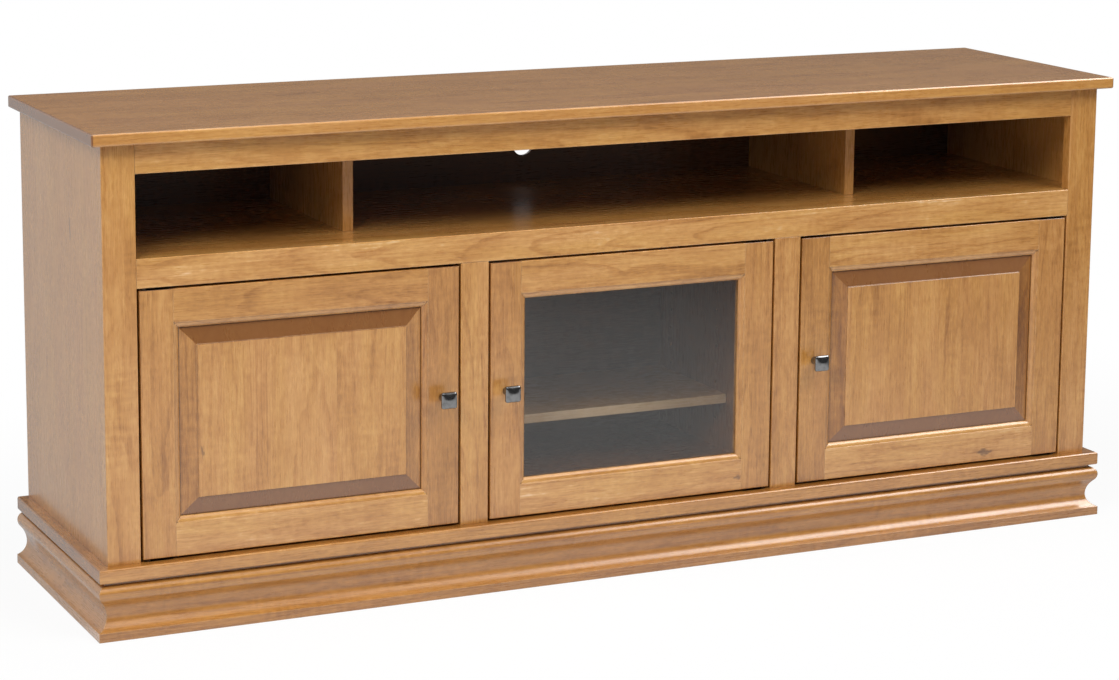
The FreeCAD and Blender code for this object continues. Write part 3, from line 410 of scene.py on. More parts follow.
    # Colours by level: the lowest tones, on the inner boards, give painted shade; the highest, on the
    # shelves, give painted light in Bare
    lower = blend(tree, ramp(tree, level, -1.0, -0.5, kind="LINEAR"), source["Mark"], source["Deep"])
    lower = blend(tree, ramp(tree, level, -0.5, 0.0, kind="LINEAR"), lower, source["Dark"])
    lower = blend(tree, ramp(tree, level, 0.0, 0.5, kind="LINEAR"), lower, source["Mid"])
    wood = blend(tree, ramp(tree, level, 0.5, 1.0, kind="LINEAR"), lower, source["Light"])
    wood = blend(tree, ramp(tree, level, 1.0, 1.5, kind="LINEAR"), wood, source["Bare"])
    wood = blend(tree, 1.0, wood, blend(tree, ramp(tree, hue, 0.3, 0.7), HONEY, ROSE), "MULTIPLY")
    wood = blend(tree, maths(tree, "MULTIPLY", pore, 0.3), wood, source["Dark"])
    wood = blend(tree, maths(tree, "MULTIPLY", mineral, 0.6), wood, source["Mark"])
    knot_across, knot_along, knot_size = split(tree, source["Knot"])
    aside = maths(tree, "SUBTRACT", across, knot_across)
    beyond = maths(tree, "MULTIPLY", maths(tree, "SUBTRACT", along, knot_along), 0.45)
    away = length(tree, join(tree, aside, beyond))
    away = maths(tree, "MULTIPLY_ADD", centred(tree, fleck), 0.012, away)
    knot = ramp(tree, maths(tree, "SUBTRACT", knot_size, away), 0.0, 0.004)
    wood = blend(tree, maths(tree, "MULTIPLY", knot, 0.7), wood, source["Mark"])
    wood = blend(tree, end, wood, source["Deep"])
    # The joint line in Mark, partly painted crevice shade
    wood = blend(tree, maths(tree, "MULTIPLY", joint, 0.8), wood, source["Mark"])
    tree.links.new(wood, out.inputs["Color"])

    open_grain = maths(tree, "SUBTRACT", 1.0, end)
    sheen = maths(tree, "MULTIPLY", pore, 0.08)
    sheen = maths(tree, "MULTIPLY_ADD", centred(tree, fibre), 0.1, sheen)
    tree.links.new(maths(tree, "MULTIPLY", sheen, open_grain), out.inputs["Sheen"])
    height = maths(tree, "MULTIPLY_ADD", pore, -0.8, maths(tree, "MULTIPLY", fibre, 0.5))
    height = maths(tree, "MULTIPLY_ADD", ring, 0.25, height)
    tree.links.new(maths(tree, "MULTIPLY", height, open_grain), out.inputs["Height"])


def make_brush_group():
    """Fine drawn lines of worked metal and a cloud of tarnish."""
    takes = [("Place", "Vector"), ("Clean", "Color"), ("Tarnish", "Color"), ("Base", "Float")]
    gives = [("Color", "Color"), ("Roughness", "Float"), ("Height", "Float")]
    tree, source, out = group("worked_metal", takes, gives)
    lines, _ = noise(tree, source["Place"], (260.0, 260.0, 4200.0), 2.0)
    cloud, _ = noise(tree, source["Place"], (150.0, 150.0, 150.0), 3.0)
    metal = blend(tree, ramp(tree, cloud, 0.4, 0.75), source["Clean"], source["Tarnish"])
    tree.links.new(metal, out.inputs["Color"])
    rough = maths(tree, "MULTIPLY_ADD", centred(tree, lines), 0.14, source["Base"])
    rough = maths(tree, "MULTIPLY_ADD", centred(tree, cloud), 0.16, rough)
    tree.links.new(rough, out.inputs["Roughness"])
    tree.links.new(lines, out.inputs["Height"])


# Materials


def new_material(name):
    """A material with a Principled shader, as (material, tree, shader)."""
    material = bpy.data.materials.new(name)
    material.use_nodes = True
    tree = material.node_tree
    return material, tree, first_node(tree, "BSDF_PRINCIPLED")


def show(tree, surface):
    """Make a shader the surface of its material."""
    tree.links.new(surface, first_node(tree, "OUTPUT_MATERIAL").inputs["Surface"])


def link(tree, shader, **sockets):
    """Link values to a shader's sockets, with underscores for spaces."""
    for key, value in sockets.items():
        tree.links.new(value, shader.inputs[key.replace("_", " ")])


def relief(tree, strength, distance, height, normal):
    """A normal with fine relief laid over it."""
    inputs = {"Strength": strength, "Distance": distance, "Height": height, "Normal": normal}
    return node(tree, "ShaderNodeBump", inputs).outputs[0]


def in_order(tree, vector, order):
    """A vector's parts in another order."""
    parts = split(tree, vector)
    return join(tree, *(parts["XYZ".index(axis)] for axis in order))


def board_value(tree, name):
    """A value kept on each board's object."""
    return node(tree, "ShaderNodeAttribute", attribute_type="OBJECT", attribute_name=name).outputs


def wood_material(order):
    """Stained and lacquered wood. The order names the axes across, through and along its grain."""
    name = f"stained_wood_{order.lower()}"
    if name in bpy.data.materials:
        return bpy.data.materials[name]
    wood = bpy.context.scene.console_wood
    material, tree, shader = new_material(name)
    where = node(tree, "ShaderNodeTexCoord").outputs
    inputs = {
        "Place": in_order(tree, where["Object"], order),
        "Facing": in_order(tree, where["Normal"], order),
        "Cut": board_value(tree, "board_cut")["Vector"],
        "Nature": board_value(tree, "board_nature")["Vector"],
        "Knot": board_value(tree, "board_knot")["Vector"],
        "Finish": board_value(tree, "board_edge_tone_and_grain")["Vector"],
        "Opening": board_value(tree, "board_opening")["Vector"],
        "Ring Pitch": wood.ring_pitch,
        "Bare": opaque(wood.pale_edge_and_light),
        "Light": opaque(wood.stain_light),
        "Mid": opaque(wood.stain_mid),
        "Dark": opaque(wood.stain_dark),
        "Deep": opaque(wood.stain_deep),
        "Mark": opaque(wood.dark_mark),
    }
    board = placed(tree, "stained_board", inputs)
    edge = placed(tree, "arris_wear", {"Radius": wood.edge_radius, "Place": where["Object"]})
    inputs = {"Place": where["Object"], "Base": wood.lacquer_roughness, "Depth": 0.12}
    marks = placed(tree, "handling_marks", inputs)
    # Lighter arrises: partly stain rubbed thin, partly a painted highlight line
    colour = blend(tree, maths(tree, "MULTIPLY", edge["Wear"], 0.8), board["Color"], opaque(wood.worn_edge_and_highlight))
    bump = relief(tree, strength=0.35, distance=0.0002, height=board["Height"], normal=edge["Normal"])
    rough = maths(tree, "ADD", marks["Roughness"], board["Sheen"])
    link(tree, shader, Base_Color=colour, Roughness=rough, Normal=bump)
    shader.inputs["Specular IOR Level"].default_value = 0.9
    shader.inputs["Coat Weight"].default_value = 0.7
    shader.inputs["Coat Roughness"].default_value = 0.2
    return material


def metal_material(name, colour, tarnish, roughness, metallic=1.0):
    """Worked metal with lighter arrises where it is rubbed."""
    if name in bpy.data.materials:
        return bpy.data.materials[name]
    material, tree, shader = new_material(name)
    where = node(tree, "ShaderNodeTexCoord").outputs["Object"]
    inputs = {"Place": where, "Clean": opaque(colour), "Tarnish": opaque(tarnish), "Base": roughness}
    metal = placed(tree, "worked_metal", inputs)
    edge = placed(tree, "arris_wear", {"Radius": 0.0004, "Place": where})
    bright = tuple(min(1.0, 1.5 * part) for part in colour)
    shade = blend(tree, maths(tree, "MULTIPLY", edge["Wear"], 0.6), metal["Color"], opaque(bright))
    bump = relief(tree, strength=0.12, distance=0.0001, height=metal["Height"], normal=edge["Normal"])
    link(tree, shader, Base_Color=shade, Roughness=metal["Roughness"], Normal=bump)
    shader.inputs["Metallic"].default_value = metallic
    return material


def plastic_material(name, colour):
    """Moulded plastic with a fine sparked grain."""
    if name in bpy.data.materials:
        return bpy.data.materials[name]
    material, tree, shader = new_material(name)
    where = node(tree, "ShaderNodeTexCoord").outputs["Object"]
    grain, _ = noise(tree, where, (1600.0, 1600.0, 1600.0), 2.0)
    cloud, _ = noise(tree, where, (55.0, 55.0, 55.0), 2.0)
    edge = placed(tree, "arris_wear", {"Radius": 0.0006, "Place": where})
    marks = placed(tree, "handling_marks", {"Place": where, "Base": 0.5, "Depth": 0.2})
    light = tuple(min(1.0, 1.6 * part) for part in colour)
    dark = tuple(0.7 * part for part in colour)
    shade = blend(tree, cloud, opaque(dark), opaque(light))
    shade = blend(tree, maths(tree, "MULTIPLY", edge["Wear"], 0.5), shade, opaque(light))
    bump = relief(tree, strength=0.3, distance=0.0001, height=grain, normal=edge["Normal"])
    link(tree, shader, Base_Color=shade, Roughness=marks["Roughness"], Normal=bump)
    return material


def glass_material():
    """Smoked glass that lets lamps through."""
    material, tree, shader = new_material("smoked_glass")
    tint = bpy.context.scene.console_fittings.glass_tint
    where = node(tree, "ShaderNodeTexCoord").outputs["Object"]
    marks = placed(tree, "handling_marks", {"Place": where, "Base": 0.025, "Depth": 0.05})
    link(tree, shader, Roughness=marks["Roughness"])
    shader.inputs["Base Color"].default_value = opaque(tint)
    shader.inputs["Transmission Weight"].default_value = 1.0
    shader.inputs["IOR"].default_value = 1.58
    through = node(tree, "ShaderNodeBsdfTransparent", {"Color": (0.95, 0.95, 0.95, 1.0)})
    ray = node(tree, "ShaderNodeLightPath").outputs["Is Shadow Ray"]
    mixed = node(tree, "ShaderNodeMixShader", {0: ray, 1: shader.outputs[0], 2: through.outputs[0]})
    show(tree, mixed.outputs[0])
    return material


def dress(name, material):
    """Give a CAD node its material."""
    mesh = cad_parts[name].data
    mesh.materials.clear()
    mesh.materials.append(material)


def cut_board(
    name,
    order,
    seed,
    tone=0.0,
    figure=0.4,
    stave=WHOLE_BOARD,
    edges=0.0,
    grain=1.0,
    knot=NO_KNOT,
    opening=NO_OPENING,
):
    """Give a board its wood.

    The order names the axes across, through and along its grain. The tone is how light it took the stain;
    on the inner boards and the base it also paints shade, on the top rail and the shelves light. Edges is
    how much lighter its edges and bevels are, partly as painted light and shade. Figure and grain are how
    much curl and grain show, and the opening is the one in a frame, with a dark joint line round it that is
    partly painted shade of the crevice.
    """
    low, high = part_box(name)
    centre = (low + high) / 2
    middle, depth = (centre["XYZ".index(axis)] for axis in order[:2])
    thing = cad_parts[name]
    thing["board_cut"] = [middle, depth, stave]
    thing["board_nature"] = [float(seed), tone, figure]
    thing["board_edge_tone_and_grain"] = [edges, grain, 0.0]
    thing["board_knot"] = list(knot)
    thing["board_opening"] = list(opening)
    dress(name, wood_material(order))


class CONSOLE_OT_finishes(bpy.types.Operator):
    """Build the shared shader groups of the finishes"""

    bl_idname = "console.finishes"
    bl_label = "Finishes"

    def execute(self, context):
        make_edge_group()
        make_smudge_group()
        make_board_group()
        make_brush_group()
        return {"FINISHED"}


class CONSOLE_OT_case(bpy.types.Operator):
    """Lay the grain of the top, sides, floors, partitions and back"""

    bl_idname = "console.case"
    bl_label = "Case"

    def execute(self, context):
        stave = context.scene.console_wood.stave_width
        cut_board(
            "top_board", "YZX", 11, tone=-0.12, figure=0.3, stave=1.3 * stave, edges=0.28, grain=0.8
        )
        # The sub top, cabinet floor, partitions and back take very low tones: painted shade inside the case
        cut_board("sub_top", "YZX", 12, tone=-1.1, figure=0.3, stave=stave)
        cut_board("bay_deck", "YZX", 13, tone=0.08, figure=0.3, stave=1.2 * stave)
        cut_board("cabinet_floor", "YZX", 14, tone=-0.95, figure=0.3, stave=stave, grain=0.4)
        cut_board("left_side_panel", "YXZ", 15, tone=0.1, figure=0.3, stave=stave, grain=0.6)
        cut_board("right_side_panel", "YXZ", 16, tone=0.1, figure=0.3, stave=stave, grain=0.6)
        cut_board("left_partition", "YXZ", 17, tone=-0.8, figure=0.4, stave=stave, grain=0.4)
        cut_board("right_partition", "YXZ", 18, tone=-0.8, figure=0.4, stave=stave, grain=0.4)
        cut_board("left_bay_divider", "YXZ", 19, tone=0.1, figure=0.4, stave=stave, grain=0.7)
        cut_board("right_bay_divider", "YXZ", 20, tone=0.1, figure=0.4, stave=stave, grain=0.7)
        cut_board("back_panel", "ZYX", 21, tone=-1.4, figure=0.4, stave=4.0 * stave, grain=0.4)
        return {"FINISHED"}


class CONSOLE_OT_face_frame(bpy.types.Operator):
    """Lay the grain of the stiles, rails and mullions of the front"""

    bl_idname = "console.face_frame"
    bl_label = "Face frame"

    def execute(self, context):
        cut_board("left_face_stile", "XYZ", 31, tone=0.08, figure=0.9)
        cut_board("right_face_stile", "XYZ", 32, tone=0.1, figure=0.6)
        cut_board("left_mullion", "XYZ", 33, tone=0.18, figure=0.4, grain=1.2)
        cut_board("right_mullion", "XYZ", 34, tone=-0.02, figure=0.4, grain=1.2)
        # A lighter tone on the top rail: painted light that offsets the shadow under the top's overhang
        cut_board("top_face_rail", "ZYX", 35, tone=0.22, figure=0.5, grain=1.2)
        cut_board("middle_face_rail", "ZYX", 36, tone=0.27, figure=0.3, grain=1.25)
        return {"FINISHED"}


class CONSOLE_OT_base(bpy.types.Operator):
    """Lay the grain of the base cap, the mouldings and the rear rail"""

    bl_idname = "console.base"
    bl_label = "Base"

    def execute(self, context):
        # Low tones and edge tones on the caps and the front moulding paint shade on the base: the front
        # cap's top ledge, the side caps' outer faces and the moulding's upright faces come out darkest
        cut_board("base_cap_front", "YZX", 41, tone=-0.36, figure=0.4, edges=0.36)
        cut_board("base_cap_left", "XZY", 42, tone=-0.3, figure=0.4, edges=-0.2)
        cut_board("base_cap_right", "XZY", 43, tone=-0.3, figure=0.4, edges=-0.2)
        cut_board("base_moulding_front", "ZYX", 44, tone=-0.3, figure=0.5, edges=0.22, grain=0.75)
        cut_board("base_moulding_left", "ZXY", 45, tone=-0.1, figure=0.5, grain=0.7)
        cut_board("base_moulding_right", "ZXY", 46, tone=-0.1, figure=0.5, grain=0.7)
        cut_board("base_rear_rail", "ZYX", 47, tone=-0.05, figure=0.4)
        return {"FINISHED"}


class CONSOLE_OT_doors(bpy.types.Operator):
    """Lay the grain of the door frames, raised panels and glass stops"""

    bl_idname = "console.doors"
    bl_label = "Doors"

    def execute(self, context):
        stave = context.scene.console_wood.stave_width
        # Left stile, right stile, bottom rail, top rail, panel and how much lighter its bevels are, partly
        # as painted shade
        tones = {
            "left_door": (-0.03, -0.15, 0.27, -0.01, 0.08, -0.3),
            "centre_door": (-0.08, 0.05, 0.26, 0.14, 0.0, 0.0),
            "right_door": (-0.22, -0.08, 0.25, 0.15, 0.05, -0.55),
        }
        knots = {
            "left_door_panel": (-0.742, 0.278, 0.0042),
            "centre_door_bottom_rail": (0.139, 0.194, 0.0045),
            "right_door_bottom_rail": (0.132, 0.686, 0.0075),
        }
        for number, door in enumerate(DOORS):
            seed = 51 + 10 * number
            left, right, bottom, top, field, bevels = tones[door]
            rail = f"{door}_bottom_rail"
            panel = f"{door}_panel"
            cut_board(f"{door}_left_stile", "XYZ", seed, tone=left, figure=0.5)
            cut_board(f"{door}_right_stile", "XYZ", seed + 1, tone=right, figure=0.5)
            cut_board(
                rail, "ZYX", seed + 2, tone=bottom, figure=0.5, grain=1.25, knot=knots.get(rail, NO_KNOT)
            )
            cut_board(f"{door}_top_rail", "ZYX", seed + 3, tone=top, figure=0.5, grain=1.2)
            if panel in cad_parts:
                knot = knots.get(panel, NO_KNOT)
                opening = self.opening_of(door)
                cut_board(
                    panel, "XYZ", seed + 4, tone=field, figure=0.6,
                    stave=1.3 * stave, edges=bevels, grain=1.0, knot=knot, opening=opening,
                )
        cut_board("centre_door_glass_stops", "XYZ", 65, tone=0.0, figure=0.4)
        return {"FINISHED"}

    def opening_of(self, door):
        """Half width, middle height and half height of the opening in a door's frame."""
        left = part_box(f"{door}_left_stile")[1].x
        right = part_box(f"{door}_right_stile")[0].x
        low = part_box(f"{door}_bottom_rail")[1].z
        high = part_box(f"{door}_top_rail")[0].z
        return (right - left) / 2, (low + high) / 2, (high - low) / 2


class CONSOLE_OT_shelves(bpy.types.Operator):
    """Lay the grain of the three adjustable shelves"""

    bl_idname = "console.shelves"
    bl_label = "Shelves"

    def execute(self, context):
        stave = context.scene.console_wood.stave_width
        # High tones and edge tones paint light on the shelves, palest in Bare on their front edges
        for number, side in enumerate(("left", "centre", "right")):
            cut_board(
                f"{side}_shelf", "YZX", 81 + number, tone=0.5, figure=0.3,
                stave=stave, edges=0.45, grain=0.6,
            )
        return {"FINISHED"}


class CONSOLE_OT_glass(bpy.types.Operator):
    """Smoke the glass of the middle door"""

    bl_idname = "console.glass"
    bl_label = "Glass"

    def execute(self, context):
        dress("centre_door_glass", glass_material())
        return {"FINISHED"}


def rounded_square(half, corner, count):
    """Points round a square with rounded corners, from the middle of its right side."""
    points = []
    for index in range(count):
        angle = 2 * pi * (index + 0.5) / count
        way = Vector((cos(angle), sin(angle)))
        reach = half / max(abs(way.x), abs(way.y))
        point = way * reach
        inner = half - corner
        if abs(point.x) > inner and abs(point.y) > inner:
            middle = Vector((inner if point.x > 0 else -inner, inner if point.y > 0 else -inner))
            along = way.dot(middle)
            out = along + max(0.0, along**2 - middle.length_squared + corner**2) ** 0.5
            point = way * out
        points.append(point)
    return points


def bridge(shape, loops):
    """Faces between each ring of points and the next."""
    for near, far in zip(loops, loops[1:]):
        for index in range(len(near)):
            after = (index + 1) % len(near)
            shape.faces.new((near[index], near[after], far[after], far[index]))


def knob_rings(half, reach, pillow):
    """A knob's rings from the door outwards: how far out, half width and corner radius of each."""
    return [
        (0.0, 0.0066, 0.0066),
        (0.0007, 0.007, 0.007),
        (0.002, 0.007, 0.007),
        (0.003, 0.0066, 0.0066),
        (0.0075, 0.0058, 0.0058),
        (0.0145, 0.0058, 0.0058),
        (0.0183, 0.0072, 0.007),
        (0.0203, 0.0108, 0.006),
        (0.0231, half - 0.0005, 0.0026),
        (0.0241, half, 0.0022),
        (reach - pillow - 0.0021, half, 0.0022),
        (reach - pillow - 0.0014, half - 0.0004, 0.0021),
        (reach - pillow - 0.0004, half - 0.0015, 0.0019),
        (reach - pillow, half - FACE_INSET, 0.0018),
    ]


def knob_mesh(name, low, high, pillow):
    """One knob between the corners of its box: round foot and waist, square head, pillowed face."""
    centre = (low + high) / 2
    half = (high.x - low.x) / 2
    reach = high.y - low.y
    face = half - FACE_INSET
    shape = bmesh.new()
    loops = []
    for out, width, corner in knob_rings(half, reach, pillow):
        points = rounded_square(width, min(corner, width), KNOB_POINTS)
        spots = [(centre.x + p.x, high.y - out, centre.z + p.y) for p in points]
        loops.append([shape.verts.new(spot) for spot in spots])
    for share in PILLOW_RINGS:
        points = rounded_square(share * face, PILLOW_CORNER * share * face, KNOB_POINTS)
        ring = []
        for p in points:
            rise = pillow * (1 - (p.x / face) ** 2) * (1 - (p.y / face) ** 2)
            ring.append(shape.verts.new((centre.x + p.x, high.y - reach + pillow - rise, centre.z + p.y)))
        loops.append(ring)
    bridge(shape, loops)
    tip = shape.verts.new((centre.x, high.y - reach, centre.z))
    for index in range(KNOB_POINTS):
        shape.faces.new((loops[-1][index], loops[-1][(index + 1) % KNOB_POINTS], tip))
    shape.faces.new(list(reversed(loops[0])))
    bmesh.ops.recalc_face_normals(shape, faces=shape.faces)
    mesh = bpy.data.meshes.new(name)
    shape.to_mesh(mesh)
    shape.free()
    mesh.polygons.foreach_set("use_smooth", [True] * len(mesh.polygons))
    return mesh


class CONSOLE_OT_knobs(bpy.types.Operator):
    """Build the square pewter knobs with pillowed faces"""

    bl_idname = "console.knobs"
    bl_label = "Knobs"

    def execute(self, context):
        fittings = context.scene.console_fittings
        tarnish = tuple(0.75 * part for part in fittings.pewter)
        pewter = metal_material("satin_pewter", fittings.pewter, tarnish, roughness=0.17)
        for door in DOORS:
            low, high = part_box(f"{door}_knob")
            name = f"{door}_pewter_knob"
            knob = bpy.data.objects.new(name, knob_mesh(name, low, high, fittings.knob_pillow))
            context.scene.collection.objects.link(knob)
            smooth = knob.modifiers.new("smooth", "SUBSURF")
            smooth.levels = 1
            smooth.render_levels = 1
            knob.data.materials.append(pewter)
            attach(knob, door)
            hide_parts(f"{door}_knob")
        return {"FINISHED"}


class CONSOLE_OT_fittings(bpy.types.Operator):
    """Finish the screws, pegs, hinges, strikes and catches"""

    bl_idname = "console.fittings"
    bl_label = "Fittings"

    def execute(self, context):
        fittings = context.scene.console_fittings
        dull_zinc = tuple(0.6 * part for part in fittings.zinc)
        dull_steel = tuple(0.55 * part for part in fittings.hinge_steel)
        zinc = metal_material("zinc_plate", fittings.zinc, dull_zinc, roughness=0.34)
        steel = metal_material("hinge_steel_satin", fittings.hinge_steel, dull_steel, roughness=0.36)
        for name in ("top_screws", "back_screws", "shelf_pegs"):
            dress(name, zinc)
        dress("frame_hinge_leaves", steel)
        dress("door_catches", plastic_material("brown_moulding", fittings.catch_plastic))
        for door in DOORS:
            dress(f"{door}_knob_screw", zinc)
            dress(f"{door}_strike", zinc)
            dress(f"{door}_hinge_leaves", steel)
        return {"FINISHED"}


def soft_box(name, place, target, width, height, power):
    """A large area lamp turned towards a point."""
    lamp = bpy.data.lights.new(name, "AREA")
    lamp.shape = "RECTANGLE"
    lamp.size = width
    lamp.size_y = height
    lamp.energy = power
    thing = bpy.data.objects.new(name, lamp)
    thing.location = place
    thing.rotation_euler = (Vector(target) - Vector(place)).to_track_quat("-Z", "Y").to_euler()
    thing.visible_glossy = False
    bpy.context.scene.collection.objects.link(thing)


def seen_in_gloss(tree):
    """1 for rays from the camera, from gloss and through glass, unless a dull surface lies between."""
    rays = node(tree, "ShaderNodeLightPath").outputs
    shown = maths(tree, "MAXIMUM", rays["Is Camera Ray"], rays["Is Glossy Ray"])
    shown = maths(tree, "MAXIMUM", shown, rays["Is Transmission Ray"])
    return maths(tree, "MULTIPLY", shown, maths(tree, "LESS_THAN", rays["Diffuse Depth"], 0.5))


class CONSOLE_OT_studio(bpy.types.Operator):
    """Set the floor, the white surround, the soft boxes and the camera"""

    bl_idname = "console.studio"
    bl_label = "Studio"

    def execute(self, context):
        scene = context.scene
        studio = scene.console_studio
        scene.view_settings.view_transform = "Standard"
        self.make_world(scene, studio)
        self.make_floor(scene, studio)
        self.make_room(scene, studio)
        self.make_gleam(scene, studio)
        for name, (place, target, width, height) in LAMPS.items():
            soft_box(f"{name}_box", place, target, width, height, getattr(studio, f"{name}_power"))
        self.make_camera(scene, studio)
        return {"FINISHED"}

    def make_world(self, scene, studio):
        """A white surround to the camera, and a little light from all round."""
        world = bpy.data.worlds.new("white_surround")
        scene.world = world
        world.use_nodes = True
        tree = world.node_tree
        ground = first_node(tree, "BACKGROUND")
        ground.inputs["Color"].default_value = WHITE
        strength = ramp(tree, seen_in_gloss(tree), 0.0, 1.0, studio.ambient, 1.0)
        tree.links.new(strength, ground.inputs["Strength"])

    def make_floor(self, scene, studio):
        """A pale floor that keeps the console's shadow and is white to the camera further off."""
        mesh = bpy.data.meshes.new("studio_floor")
        shape = bmesh.new()
        bmesh.ops.create_circle(shape, cap_ends=True, radius=FLOOR_RADIUS, segments=96)
        shape.to_mesh(mesh)
        shape.free()
        floor = bpy.data.objects.new("studio_floor", mesh)
        floor.location.z = FLOOR_LEVEL
        scene.collection.objects.link(floor)
        material, tree, shader = new_material("pale_floor")
        where = node(tree, "ShaderNodeTexCoord").outputs["Object"]
        grain, _ = noise(tree, where, (40.0, 40.0, 40.0), 3.0)
        pale = blend(tree, grain, opaque(tuple(0.97 * part for part in studio.floor)), opaque(studio.floor))
        link(tree, shader, Base_Color=pale)
        shader.inputs["Roughness"].default_value = 0.8
        shader.inputs["Specular IOR Level"].default_value = 0.1
        # White to the camera. In the gloss it dims to the front, to the right, and under and behind
        # the console.
        beside = vector_maths(tree, "SUBTRACT", vector_maths(tree, "ABSOLUTE", where), HALF_PLAN)
        beside = vector_maths(tree, "MAXIMUM", beside, (0.0, 0.0, 0.0))
        away = length(tree, beside)
        right, depth, _ = split(tree, where)
        front = -HALF_PLAN[1]
        dim = ramp(tree, depth, front - studio.floor_reach, front - 0.25 * studio.floor_reach, 0.08, 0.88)
        dim = maths(tree, "MULTIPLY", dim, ramp(tree, depth, -0.2, -0.1, 1.0, 0.64))
        dim = maths(tree, "MULTIPLY", dim, ramp(tree, right, 0.5, 2.5, 1.0, 0.12))
        gloss = node(tree, "ShaderNodeLightPath").outputs["Is Glossy Ray"]
        strength = maths(tree, "MULTIPLY_ADD", gloss, maths(tree, "SUBTRACT", dim, 1.0), 1.0)
        white = node(tree, "ShaderNodeEmission", {"Color": WHITE, "Strength": strength})
        far = maths(tree, "MAXIMUM", ramp(tree, away, 0.05, 1.2, 0.92, 1.0), gloss)
        factor = maths(tree, "MULTIPLY", far, seen_in_gloss(tree))
        mixed = node(tree, "ShaderNodeMixShader", {0: factor, 1: shader.outputs[0], 2: white.outputs[0]})
        show(tree, mixed.outputs[0])
        mesh.materials.append(material)

    def make_room(self, scene, studio):
        """The dim walls, paler ceiling and white screen of the studio, which only gloss sees."""
        shape = bmesh.new()
        turns = [2 * pi * index / ROOM_POINTS for index in range(ROOM_POINTS)]
        loops = []
        for radius, height in ROOM_PROFILE:
            spots = [(radius * cos(turn), radius * sin(turn), height) for turn in turns]
            loops.append([shape.verts.new(spot) for spot in spots])
        bridge(shape, loops)
        shape.faces.new(loops[-1])
        tree, glow = self.gloss_only(scene, "studio_room", shape)
        glow.inputs["Color"].default_value = opaque(studio.room)
        where = node(tree, "ShaderNodeTexCoord").outputs["Object"]
        right, depth, height = split(tree, where)
        wall = ramp(tree, depth, -1.0, 1.0, 0.5, 0.85)
        screen = ramp(tree, right, 0.0, -3.0, 0.0, 3.2)
        screen = maths(tree, "MULTIPLY", screen, ramp(tree, depth, 0.0, 3.0))
        ceiling = ramp(tree, height, 3.2, 4.9, 0.0, 7.5)
        strength = maths(tree, "ADD", wall, maths(tree, "ADD", screen, ceiling))
        tree.links.new(strength, glow.inputs["Strength"])

    def make_gleam(self, scene, studio):
        """A bright panel over the right front, fading in from the left, which only gloss sees."""
        shape = bmesh.new()
        rows = [[shape.verts.new((x, y, z)) for x in GLEAM_SIDES] for y, z in GLEAM_PROFILE]
        for low, high in zip(rows, rows[1:]):
            shape.faces.new((low[0], low[1], high[1], high[0]))
        tree, glow = self.gloss_only(scene, "gleam_panel", shape)
        where = node(tree, "ShaderNodeTexCoord").outputs["Object"]
        right = split(tree, where)["X"]
        tree.links.new(ramp(tree, right, *GLEAM_FADE, 0.0, studio.gleam), glow.inputs["Strength"])

    def gloss_only(self, scene, name, shape):
        """Add a glowing sheet that only gloss sees, and give its tree and its glow."""
        mesh = bpy.data.meshes.new(name)
        shape.to_mesh(mesh)
        shape.free()
        sheet = bpy.data.objects.new(name, mesh)
        scene.collection.objects.link(sheet)
        material, tree, shader = new_material(name)
        glow = node(tree, "ShaderNodeEmission", {"Color": WHITE, "Strength": 1.0})
        show(tree, glow.outputs[0])
        tree.nodes.remove(shader)
        mesh.materials.append(material)
        sheet.visible_camera = False
        sheet.visible_diffuse = False
        sheet.visible_shadow = False
        sheet.visible_transmission = False
        return tree, glow

    def make_camera(self, scene, studio):
        """The photograph's viewing angle."""
        data = bpy.data.cameras.new("photograph_view")
        data.sensor_width = CAMERA_SENSOR
        data.sensor_fit = "HORIZONTAL"
        data.lens = studio.lens
        data.shift_y = CAMERA_SHIFT
        camera = bpy.data.objects.new("photograph_view", data)
        scene.collection.objects.link(camera)
        yaw, pitch, roll = (radians(turn) for turn in (CAMERA_YAW, CAMERA_PITCH, CAMERA_ROLL))
        forward = Vector((sin(yaw) * cos(pitch), cos(yaw) * cos(pitch), -sin(pitch)))
        level = Vector((cos(yaw), -sin(yaw), 0.0))
        upright = level.cross(forward)
        right = cos(roll) * level + sin(roll) * upright
        up = cos(roll) * upright - sin(roll) * level
        turn = Matrix((right, up, -forward)).transposed().to_4x4()
        camera.matrix_world = Matrix.Translation(CAMERA_PLACE) @ turn
        scene.camera = camera


class CONSOLE_PT_panel(bpy.types.Panel):
    """Console builders in the sidebar"""

    bl_idname = "CONSOLE_PT_panel"
    bl_label = "Media Console"
    bl_space_type = "VIEW_3D"
    bl_region_type = "UI"
    bl_category = "Console"

    def draw(self, context):
        for operator in OPERATORS:
            self.layout.operator(operator.bl_idname)
        scene = context.scene
        for settings in (scene.console_wood, scene.console_fittings, scene.console_studio):
            box = self.layout.box()
            for name in settings.__annotations__:
                box.prop(settings, name)


OPERATORS = (
    CONSOLE_OT_finishes,
    CONSOLE_OT_case,
    CONSOLE_OT_face_frame,
    CONSOLE_OT_base,
    CONSOLE_OT_doors,
    CONSOLE_OT_shelves,
    CONSOLE_OT_glass,
    CONSOLE_OT_knobs,
    CONSOLE_OT_fittings,
    CONSOLE_OT_studio,
)
CLASSES = (ConsoleWood, ConsoleFittings, ConsoleStudio, *OPERATORS, CONSOLE_PT_panel)


def register():
    """Register the classes and hang their settings on the scene."""
    for item in CLASSES:
        bpy.utils.register_class(item)
    bpy.types.Scene.console_wood = PointerProperty(type=ConsoleWood)
    bpy.types.Scene.console_fittings = PointerProperty(type=ConsoleFittings)
    bpy.types.Scene.console_studio = PointerProperty(type=ConsoleStudio)


def unregister():
    """Take the settings and classes away again."""
    del bpy.types.Scene.console_studio
    del bpy.types.Scene.console_fittings
    del bpy.types.Scene.console_wood
    for item in reversed(CLASSES):
        bpy.utils.unregister_class(item)


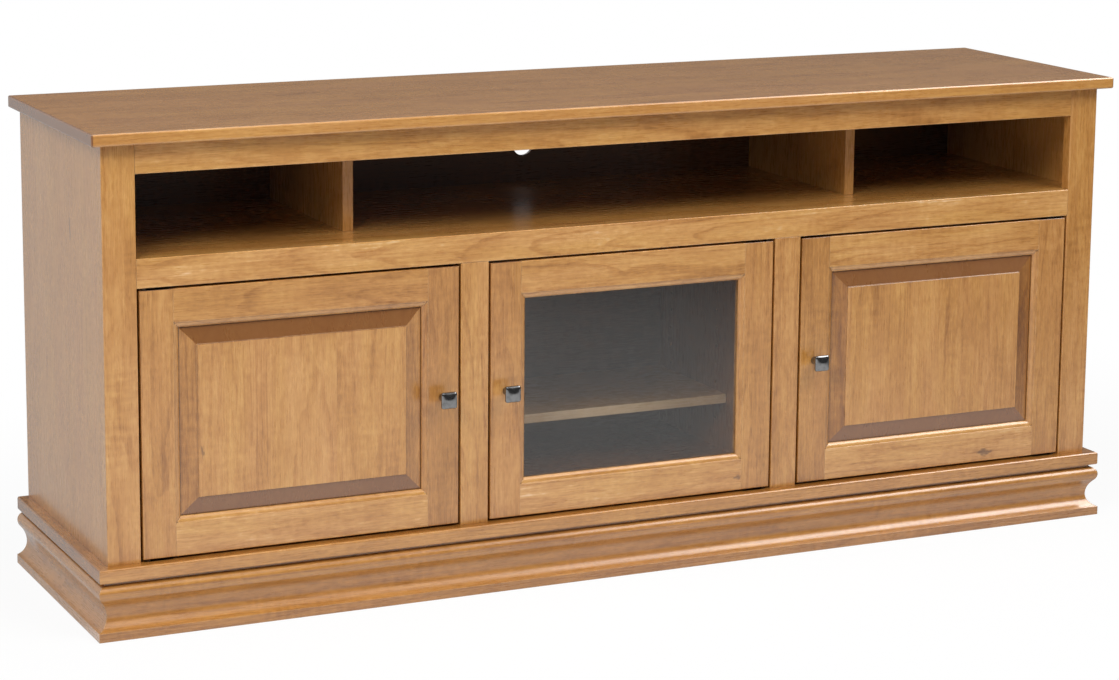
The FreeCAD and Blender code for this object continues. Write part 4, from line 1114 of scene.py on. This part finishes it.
def main():
    """Build the console's looks."""
    register()
    bpy.ops.console.finishes()
    bpy.ops.console.case()
    bpy.ops.console.face_frame()
    bpy.ops.console.base()
    bpy.ops.console.doors()
    bpy.ops.console.shelves()
    bpy.ops.console.glass()
    bpy.ops.console.knobs()
    bpy.ops.console.fittings()
    bpy.ops.console.studio()


if __name__ == "__main__":
    main()
